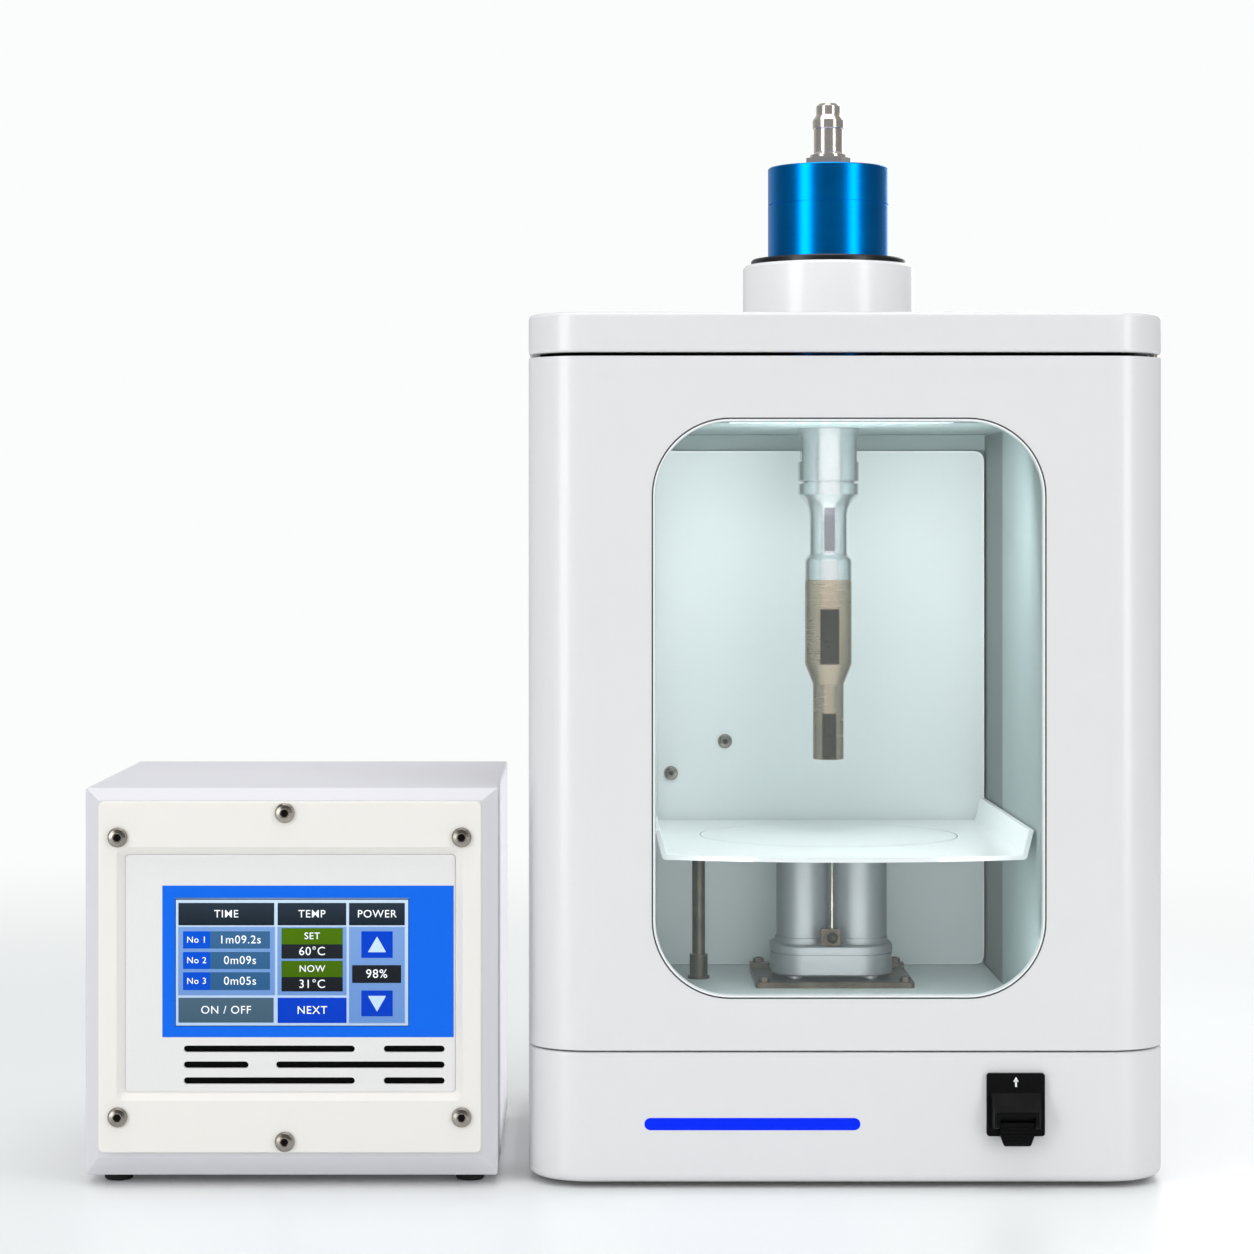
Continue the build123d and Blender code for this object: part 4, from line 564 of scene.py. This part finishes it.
def lit_print(name, dark, light, glow, low, high):
    """A lit field on the display, lighter towards its top edge as a drawn button is."""
    field = Finish(name)
    rise = (field.axes()[2] - low) / (high - low)
    fleck = field.noise(900, 2)
    colour = field.blend(rise * 0.75 + fleck * 0.25, dark, light)
    return field.set(
        Base_Color=colour,
        Emission_Color=colour,
        Emission_Strength=glow,
        Roughness=0.2 + fleck * 0.06,
        Specular_IOR_Level=0.12,
    )


def ink(name, colour, thin, gloss=0.35):
    """Screen-printed ink, a little uneven in its body; the same finish serves the painted shade and
    highlight lines and spots.
    """
    layer = Finish(name)
    body = layer.noise(500, 3)
    layer.relief(body, 0.01 * mm, 0.3)
    return layer.set(
        Base_Color=layer.blend(body, colour, thin),
        Roughness=gloss + body * 0.1,
        Specular_IOR_Level=0.08,
    )


FINISHES = {
    maker.__name__: maker
    for maker in (
        cabinet_paint, chamber_paint, table_enamel, grey_foam, black_rubber, seal_rubber,
        ring_plastic, window_glass, blue_anodised, nickel_plate, turned_aluminium, titanium,
        piezo_ceramic, dark_steel, bright_steel, cast_aluminium, lamp_lens, black_plastic,
        grey_steel, case_paint, bezel_paint, panel_plastic, screen_glass, circuit_board,
    )
}


def finish_nodes():
    """Gives every solid the finish of its slot."""
    made = {slot: maker() for slot, maker in FINISHES.items()}
    for entry in frame["record"]["subparts"]:
        materials = frame["nodes"][entry["node"]].data.materials
        materials.clear()
        materials.append(made[entry["material_slot"]])


# Modelling by hand


def fresh():
    """Deselects everything, so that the next tool acts on its own piece alone."""
    if bpy.context.object and bpy.context.object.mode != "OBJECT":
        bpy.ops.object.mode_set(mode="OBJECT")
    bpy.ops.object.select_all(action="DESELECT")


def settle(name):
    """Names the piece in hand and moves its place and size into its mesh."""
    piece = bpy.context.object
    piece.name = name
    bpy.ops.object.transform_apply(location=True, rotation=True, scale=True)
    return piece


def choose_edges(piece, wanted):
    """Selects the edges for which wanted(edge) is true, in edit mode."""
    bpy.ops.object.mode_set(mode="EDIT")
    bpy.ops.mesh.select_mode(type="EDGE")
    bpy.ops.mesh.select_all(action="DESELECT")
    mesh = bmesh.from_edit_mesh(piece.data)
    for edge in mesh.edges:
        edge.select_set(wanted(edge))
    bmesh.update_edit_mesh(piece.data)


def runs_back(edge):
    """Whether an edge runs from front to back."""
    run = (edge.verts[1].co - edge.verts[0].co).normalized()
    return abs(run.y) > 0.99


def round_edges(piece, wanted, radius, steps=5):
    choose_edges(piece, wanted)
    bpy.ops.mesh.bevel(offset=radius, segments=steps, affect="EDGES")
    bpy.ops.object.mode_set(mode="OBJECT")


def tile(name, left, low, width, height, face, thickness, corner):
    """A thin plate that stands on a front face, with round corners and a broken front edge."""
    fresh()
    bpy.ops.mesh.primitive_cube_add(
        size=1,
        location=(left + width / 2, face - thickness / 2, low + height / 2),
        scale=(width, thickness, height),
    )
    piece = settle(name)
    round_edges(piece, runs_back, corner)
    front = face - thickness * 0.99

    def on_front_rim(edge):
        return all(vert.co.y < front for vert in edge.verts) and len(edge.link_faces) == 2

    round_edges(piece, on_front_rim, thickness * 0.3, 2)
    return piece


def band(name, left, low, width, height, corner, rim, face, thickness):
    """A thin line round a rectangle with round corners, standing on a front face."""
    fresh()
    bpy.ops.mesh.primitive_plane_add(
        size=1, location=(left + width / 2, face, low + height / 2), rotation=FACING_FRONT,
    )
    bpy.context.object.scale = (width, height, 1)
    piece = settle(name)
    bpy.ops.object.mode_set(mode="EDIT")
    bpy.ops.mesh.select_all(action="SELECT")
    if corner > 0:
        bpy.ops.mesh.bevel(offset=corner, segments=16, affect="VERTICES")
        bpy.ops.mesh.select_all(action="SELECT")
    bpy.ops.mesh.inset(thickness=rim, depth=0)
    bpy.ops.mesh.delete(type="FACE")
    bpy.ops.mesh.select_all(action="SELECT")
    bpy.ops.mesh.extrude_region_move(TRANSFORM_OT_translate={"value": (0, -thickness, 0)})
    bpy.ops.mesh.select_all(action="SELECT")
    bpy.ops.mesh.normals_make_consistent(inside=False)
    bpy.ops.object.mode_set(mode="OBJECT")
    return piece


def lettering(name, words, x, z, size, face, depth, bold):
    """Raised characters centred on a place on a front face."""
    fresh()
    bpy.ops.object.text_add(location=(0, 0, 0))
    text = bpy.context.object
    text.data.body = words
    text.data.size = size
    text.data.align_x = "CENTER"
    text.data.align_y = "CENTER"
    text.data.extrude = depth / 2
    text.data.offset = bold
    text.data.space_character = 1.1
    bpy.ops.object.convert(target="MESH")
    bpy.context.object.rotation_euler = FACING_FRONT
    bpy.context.object.location = (x, face - depth / 2, z)
    return settle(name)


def wedge(name, x, z, size, face, thickness, turn):
    """A solid triangle on a front face, pointing up before it is turned."""
    fresh()
    bpy.ops.mesh.primitive_cylinder_add(
        vertices=3, radius=size, depth=thickness,
        location=(x, face - thickness / 2, z), rotation=(math.pi / 2, turn, 0),
    )
    piece = settle(name)
    round_edges(piece, runs_back, size * 0.08, 2)
    return piece


def joined(name, pieces):
    """Several pieces of one finish as one object."""
    fresh()
    for piece in pieces:
        piece.select_set(True)
    bpy.context.view_layer.objects.active = pieces[0]
    if len(pieces) > 1:
        bpy.ops.object.join()
    pieces[0].name = name
    return pieces[0]


def dress(piece, material, body="frame"):
    """Gives a finished piece its material and lets it move with its body."""
    piece.data.materials.clear()
    piece.data.materials.append(material)
    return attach(piece, body)


# Marks and fine details


def base_stripe():
    """The blue stripe with round ends, printed on the front of the base."""
    left, low, width, height = 9.3 * mm, 30.5 * mm, 112.6 * mm, 6.4 * mm
    stripe = tile("base_stripe", left, low, width, height, base_front, 0.12 * mm, height * 0.499)
    royal = ink("stripe_blue", tint(0, 46, 255), tint(0, 40, 240), 0.4)
    return dress(stripe, royal)


def window_line(name, outside, proud, material):
    """One line round the window, its outer edge the given distance outside the opening."""
    corner, rim, sunk = 40 * mm, 0.8 * mm, 0.3 * mm
    line = band(
        name, glass_low.x - outside, glass_low.z - outside,
        glass_high.x - glass_low.x + 2 * outside, glass_high.z - glass_low.z + 2 * outside,
        corner + outside, rim, front_y + sunk, sunk + proud,
    )
    return dress(line, material, "front_door")


def window_lines():
    """A painted shade line and a painted highlight line that run round the window."""
    # Painted shade: the dark line just outside the opening
    window_shade_grey = ink("window_shade_grey", tint(74, 78, 78), tint(66, 70, 70))
    window_line("window_shade_line", 0.9 * mm, 0.06 * mm, window_shade_grey)
    # Painted highlight: the bright line at the opening's edge
    window_highlight_white = ink("window_highlight_white", tint(250, 252, 252), tint(244, 247, 247), 0.3)
    window_line("window_highlight_line", 0.1 * mm, 0.02 * mm, window_highlight_white)


def panel_edge_line():
    """A bright line along the edge of the chamber's back panel: a painted highlight."""
    corner, rim, sunk, thickness = 6 * mm, 0.9 * mm, 0.2 * mm, 0.3 * mm
    low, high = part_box("chamber_back_panel")
    line = band(
        "panel_edge", low.x, low.z, high.x - low.x, high.z - low.z,
        corner, rim, low.y + sunk, thickness,
    )
    white = ink("panel_highlight_white", tint(248, 252, 252), tint(240, 246, 246), 0.3)
    return dress(line, white)


def switch_arrow():
    """A small white arrow that points up, above the lever."""
    white = ink("switch_white", tint(252, 252, 252), tint(240, 240, 240))
    x = (switch_low.x + switch_high.x) / 2
    z = switch_high.z - 4.6 * mm
    face = switch_high.y - 2.5 * mm
    stem_width, stem_height, thickness = 1.0 * mm, 3.4 * mm, 0.12 * mm
    head = wedge("arrow_head", x, z + 1.1 * mm, 1.7 * mm, face, thickness, 0)
    stem = tile(
        "arrow_stem", x - stem_width / 2, z - 2.4 * mm, stem_width, stem_height,
        face, thickness, 0.1 * mm,
    )
    return dress(joined("switch_arrow", [head, stem]), white)


def vent_shade_sheet():
    """A black sheet behind the generator's slots: painted shade, so that the slots look dark
    inside.
    """
    width, height, thickness, corner = 144 * mm, 27.6 * mm, 0.4 * mm, 2 * mm
    low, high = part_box("control_panel")
    sheet = tile(
        "vent_shade_sheet", low.x + 25.5 * mm, low.z + 1.2 * mm, width, height,
        high.y + 0.5 * mm, thickness, corner,
    )
    return dress(sheet, ink("vent_shade_black", tint(1, 1, 1), tint(4, 4, 4), 0.6))


def socket_shade(name, places, radius, floor):
    """Dark discs at the bottom of screws' sockets, painted shade, at places given as x and z."""
    dots = []
    for n, (x, z) in enumerate(places):
        fresh()
        bpy.ops.mesh.primitive_cylinder_add(
            vertices=24, radius=radius, depth=0.3 * mm,
            location=(x, floor - 0.2 * mm, z), rotation=FACING_FRONT,
        )
        dots.append(settle(f"{name}_{n}"))
    shade_dark = ink(name, tint(14, 11, 9), tint(30, 25, 21), 0.4)
    return dress(joined(name, dots), shade_dark)


def screw_sockets():
    """Painted shade in the sockets of the bezel's six screws and of the back panel's two."""
    bezel_head, bezel_socket, bezel_depth = 5.2 * mm, 1.85 * mm, 1.96 * mm
    corner_rise, centre_shift = 72.9 * mm, 2.5 * mm
    low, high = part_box("bezel_screws")
    left, right = low.x + bezel_head, high.x - bezel_head
    middle = (low.z + high.z) / 2
    centre = (left + right) / 2 - centre_shift
    places = [
        (side, middle + rise) for side in (left, right) for rise in (-corner_rise, corner_rise)
    ]
    places += [(centre, low.z + bezel_head), (centre, high.z - bezel_head)]
    socket_shade("bezel_socket_shade", places, bezel_socket, low.y + bezel_depth)

    panel_head, panel_socket, panel_depth = 4.25 * mm, 1.5 * mm, 1.82 * mm
    low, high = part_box("back_panel_screws")
    places = [(low.x + panel_head, low.z + panel_head), (high.x - panel_head, high.z - panel_head)]
    socket_shade("panel_socket_shade", places, panel_socket, low.y + panel_depth)


# The display. Its sizes are in millimetres. A place is left, low, width and height, from the
# display's low left corner, and a row is its low edge, its height and its words.

DISPLAY = (0.0, 0.0, 122.0, 66.4)
GROUNDS = [(1.7, 16.3, 50.3, 35.5), (53.5, 16.3, 35.9, 35.5), (90.9, 1.8, 28.9, 50.0)]
HEADERS = [
    (1.7, 52.7, 50.0, 11.7, "TIME"),
    (53.5, 52.7, 35.8, 11.7, "TEMP"),
    (90.8, 52.7, 29.1, 11.7, "POWER"),
]
LABEL_COLUMN = (4.1, 14.2)
TIME_COLUMN = (18.3, 31.2)
TIMES = [(40.6, 9.0, "1m09.2s"), (29.9, 8.9, "0m09s"), (18.9, 9.3, "0m05s")]
LABELS = [(low, height, f"No {n + 1}") for n, (low, height, _) in enumerate(TIMES)]
TEMPERATURE_COLUMN = (55.5, 32.0)
GREENS = [(42.8, 8.5, "SET"), (25.7, 8.5, "NOW")]
TEMPERATURES = [(35.3, 7.5, "60°C"), (18.2, 7.5, "31°C")]
ARROW_COLUMN = (97.2, 16.4)
ARROWS = [(35.7, 13.9, 0.0), (5.2, 13.5, math.pi)]
PERCENT = (92.4, 22.6, 25.6, 9.3)
ON_OFF = (1.7, 1.9, 49.7, 13.0)
NEXT = (53.5, 1.7, 36.0, 13.2)

# How far the grounds step up, and how thick the fields and the figures on them are
LEVEL = 0.05
CELL = 0.18
GLYPH = 0.1


def cell(name, left, low, width, height, thickness=CELL, corner=0.3):
    """A field of the display."""
    return tile(
        name, display_left + left * mm, display_low + low * mm,
        width * mm, height * mm, screen_face, thickness * mm, corner * mm,
    )


def cells(name, column, rows):
    """One field for each row of a column. The column is its left edge and its width."""
    left, width = column
    return [cell(f"{name}_{n}", left, row[0], width, row[1]) for n, row in enumerate(rows)]


def outline(name, left, low, width, height, rim, thickness):
    """A drawn line just outside a field."""
    return band(
        name, display_left + (left - rim) * mm, display_low + (low - rim) * mm,
        (width + 2 * rim) * mm, (height + 2 * rim) * mm, 0, rim * mm,
        screen_face, thickness * mm,
    )


def glyphs(name, words, left, low, width, height, size):
    """Words in the middle of a field, a little bold."""
    x = display_left + (left + width / 2) * mm
    z = display_low + (low + height / 2) * mm
    return lettering(name, words, x, z, size * mm, screen_face - CELL * mm, GLYPH * mm, 0.01 * mm)


def column_glyphs(name, column, rows, size):
    """The words of each row of a column."""
    left, width = column
    return [
        glyphs(f"{name}_{n}", words, left, low, width, height, size)
        for n, (low, height, words) in enumerate(rows)
    ]


def show(pieces, name, dark, light, low, high, glow):
    """Joins cells of one colour, lights them and fixes them to the screen."""
    lit = lit_print(name, dark, light, glow, display_low + low * mm, display_low + high * mm)
    return dress(joined(name, pieces), lit)


def display_fields():
    """The coloured fields of the display, from its pale ground up."""
    rim = outline("display_rim_line", 0.35, 0.35, 121.3, 65.7, 0.35, 1.8 * LEVEL)
    show([rim], "display_rim", tint(4, 8, 20), tint(10, 16, 34), 0, 66, 0.0)
    ground = cell("display_ground_cell", *DISPLAY, LEVEL, 0.6)
    show([ground], "display_ground", tint(172, 198, 228), tint(200, 220, 240), 0, 66, 0.12)
    grounds = [cell(f"ground_{n}", *place, 2 * LEVEL) for n, place in enumerate(GROUNDS)]
    show(grounds, "display_grounds", tint(96, 136, 196), tint(120, 158, 212), 0, 52, 0.12)
    lines = [
        outline(f"ground_line_{n}", *place, 0.3, 2.4 * LEVEL) for n, place in enumerate(GROUNDS)
    ]
    show(lines, "display_lines", tint(140, 160, 196), tint(170, 190, 220), 0, 52, 0.2)

    headers = [cell(f"header_{n}", *place) for n, (*place, _) in enumerate(HEADERS)]
    show(headers, "display_headers", tint(20, 30, 40), tint(44, 56, 68), 52, 65, 0.08)
    on_off = cell("on_off_field", *ON_OFF)
    show([on_off], "display_on_off", tint(62, 88, 106), tint(72, 96, 114), 2, 15, 0.15)
    labels = cells("label", LABEL_COLUMN, LABELS)
    show(labels, "display_labels", tint(0, 72, 196), tint(0, 82, 208), 19, 51, 0.12)
    times = cells("time", TIME_COLUMN, TIMES)
    show(times, "display_times", tint(40, 84, 126), tint(56, 98, 138), 19, 51, 0.2)
    greens = cells("green", TEMPERATURE_COLUMN, GREENS)
    show(greens, "display_greens", tint(62, 98, 0), tint(74, 112, 2), 26, 52, 0.14)
    blacks = cells("black", TEMPERATURE_COLUMN, TEMPERATURES) + [cell("black_percent", *PERCENT)]
    show(blacks, "display_blacks", tint(22, 26, 32), tint(34, 38, 44), 18, 44, 0.08)
    blues = [cell("next_field", *NEXT)] + cells("arrow_field", ARROW_COLUMN, ARROWS)
    show(blues, "display_blues", tint(0, 56, 184), tint(0, 64, 198), 0, 52, 0.12)


def display_figures():
    """The figures and words on the fields."""
    figures = column_glyphs("time_figures", TIME_COLUMN, TIMES, 6.0)
    figures += column_glyphs("label_figures", LABEL_COLUMN, LABELS, 4.6)
    figures += column_glyphs("heat_figures", TEMPERATURE_COLUMN, TEMPERATURES, 6.2)
    figures += column_glyphs("green_figures", TEMPERATURE_COLUMN, GREENS, 5.0)
    figures += [
        glyphs(f"header_figures_{n}", words, *place, 5.6)
        for n, (*place, words) in enumerate(HEADERS)
    ]
    figures.append(glyphs("percent_figures", "98%", *PERCENT, 6.4))
    figures.append(glyphs("on_off_words", "ON / OFF", *ON_OFF, 5.8))
    figures.append(glyphs("next_word", "NEXT", *NEXT, 5.8))
    show(figures, "display_figures", tint(232, 238, 244), tint(244, 248, 252), 0, 66, 0.25)


def display_arrows():
    """The two arrows that set the power, each a little off its field's middle."""
    size, off_middle = 5.5, 1.2
    left, width = ARROW_COLUMN
    x = display_left + (left + width / 2) * mm
    arrows = []
    for n, (low, height, turn) in enumerate(ARROWS):
        z = display_low + (low + height / 2 - off_middle * math.cos(turn)) * mm
        face = screen_face - CELL * mm
        arrows.append(wedge(f"arrow_{n}", x, z, size * mm, face, GLYPH * mm, turn))
    show(arrows, "display_arrows", tint(178, 204, 242), tint(194, 216, 248), 0, 52, 0.2)


# The studio

backdrop_white = tint(251, 253, 252)


def studio_world():
    """White where the camera looks; to polished metal, white behind the object and dim in front."""
    world = bpy.data.worlds.new("studio")
    world.use_nodes = True
    bpy.context.scene.world = world
    world.node_tree.nodes.clear()
    sky = Graph(world.node_tree)

    path = sky.tree.nodes.new("ShaderNodeLightPath").outputs
    place = sky.node("ShaderNodeTexCoord", {}, output="Generated")
    backwards = sky.node("ShaderNodeSeparateXYZ", {}, place, output="Y")
    smooth = {"interpolation_type": "SMOOTHSTEP"}
    behind = sky.node("ShaderNodeMapRange", smooth, backwards, 0.3, 0.9, 0.14, 0.5)
    mirrored = sky.node("ShaderNodeBackground", {}, backdrop_white, behind)
    seen = sky.node("ShaderNodeBackground", {}, backdrop_white, 1.0)
    soft = sky.node("ShaderNodeBackground", {}, (0.96, 0.98, 1.0, 1), 0.58)
    through = sky.node(
        "ShaderNodeMath", {"operation": "MAXIMUM"},
        path["Is Camera Ray"], path["Is Transmission Ray"],
    )
    lit = sky.node("ShaderNodeMixShader", {}, path["Is Glossy Ray"], soft, mirrored)
    shown = sky.node("ShaderNodeMixShader", {}, through, lit, seen)
    output = sky.tree.nodes.new("ShaderNodeOutputWorld")
    sky.feed(output.inputs[0], shown)


def studio_floor():
    """A pale floor that keeps the object's shadow and turns to plain white further out."""
    shadow_reach, fade = 1.1, 0.7
    fresh()
    bpy.ops.mesh.primitive_plane_add(size=60, location=(0, 0, 0))
    floor = settle("studio_floor")
    pale = Finish("studio_floor")
    x, y, _ = pale.axes()
    cloud = pale.noise(2, 2)
    pale.set(
        Base_Color=pale.blend(cloud, tint(238, 240, 240), tint(234, 236, 236)),
        Roughness=0.32 + cloud * 0.04,
    )
    surface = pale.shader.outputs[0]
    far = ((x * x + y * y) ** 0.5).over(shadow_reach, fade)
    lift = pale.node("ShaderNodeEmission", {}, (1, 1, 1, 1), 0.04)
    lifted = pale.node("ShaderNodeAddShader", {}, surface, lift)
    white = pale.node("ShaderNodeEmission", {}, backdrop_white, 1.0)
    faded = pale.node("ShaderNodeMixShader", {}, far, lifted, white)
    camera_ray = pale.node("ShaderNodeLightPath", {}, output="Is Camera Ray")
    shown = pale.node("ShaderNodeMixShader", {}, camera_ray, surface, faded)
    pale.feed(pale.tree.nodes["Material Output"].inputs[0], shown)
    floor.data.materials.append(pale.material)


def lamp(name, place, aim, width, height, power, colour=(1, 1, 1)):
    """A soft box at a place, turned towards its aim. The camera doesn't see it."""
    light = bpy.data.lights.new(name, "AREA")
    light.shape = "RECTANGLE"
    light.size = width
    light.size_y = height
    light.energy = power
    light.color = colour
    box = bpy.data.objects.new(name, light)
    bpy.context.scene.collection.objects.link(box)
    box.location = place
    box.rotation_euler = (Vector(aim) - Vector(place)).to_track_quat("-Z", "Y").to_euler()
    box.visible_camera = False
    return box


def studio_lamps():
    """Tall soft boxes to the left and the right, one above and one behind."""
    middle = (probe_x * 0.5, 0.0, 0.32)
    lamp("key_left", (-1.75, -1.65, 0.75), middle, 0.8, 1.9, 20)
    lamp("fill_right", (1.8, -1.7, 0.7), middle, 0.6, 1.9, 15)
    lamp("overhead", (0.0, -0.3, 2.3), middle, 2.2, 1.5, 24)
    lamp("behind", (0.8, 2.2, 1.2), middle, 1.4, 1.2, 12)


def chamber_lamps():
    """The light inside the chamber: its lamp, the window's glow and a little under the table."""
    cool = (0.97, 1.0, 1.0)
    front, back = wall_low.y + 6 * mm, wall_high.y
    under_ceiling = (probe_x, front + 20 * mm, wall_high.z - 34 * mm)
    rear_middle = (probe_x, back, 0.25)
    ceiling = lamp("chamber_light", under_ceiling, rear_middle, 0.12, 0.03, 0.36, cool)
    ceiling.visible_glossy = False

    def glow(name, height, aim_height, box_height, power):
        place, aim = (probe_x, front, height), (probe_x, back, aim_height)
        return lamp(name, place, aim, 0.2, box_height, power, cool)

    glow("window_glow", height=0.23, aim_height=0.23, box_height=0.26, power=0.07)
    upper = glow("window_top_glow", height=0.382, aim_height=0.382, box_height=0.036, power=0.015)
    upper.visible_diffuse = False
    glow("under_table_glow", height=0.1, aim_height=0.09, box_height=0.05, power=0.15)


def gap_lamp():
    """A weak light in the gap, on the side of the generator that faces the cabinet."""
    height = 0.11
    case_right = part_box("generator_case")[HIGH].x
    place = (case_right + 8 * mm, 0, height)
    gap = lamp("gap_light", place, (0, 0, height), 0.2, 0.18, 0.07)
    gap.rotation_euler = (0, math.pi / 2, 0)


def photo_camera():
    """The photograph's view: level, straight at the fronts, with its frame moved by the shift."""
    camera = bpy.data.cameras.new("photo_camera")
    camera.sensor_width = sensor
    camera.lens = sensor * camera_distance / front_width
    camera.shift_x = (photo_width / 2 - axis_column) / photo_width
    camera.shift_y = (axis_row - photo_width / 2) / photo_width
    camera.clip_end = 50
    holder = bpy.data.objects.new("photo_camera", camera)
    holder.location = (camera_x, front_y - camera_distance, camera_z)
    holder.rotation_euler = FACING_FRONT
    bpy.context.scene.collection.objects.link(holder)
    bpy.context.scene.camera = holder


photo_camera()
studio_world()
studio_floor()
studio_lamps()
chamber_lamps()
gap_lamp()
finish_nodes()
base_stripe()
window_lines()
panel_edge_line()
switch_arrow()
vent_shade_sheet()
screw_sockets()
display_fields()
display_figures()
display_arrows()

bpy.context.scene.view_settings.view_transform = "Standard"
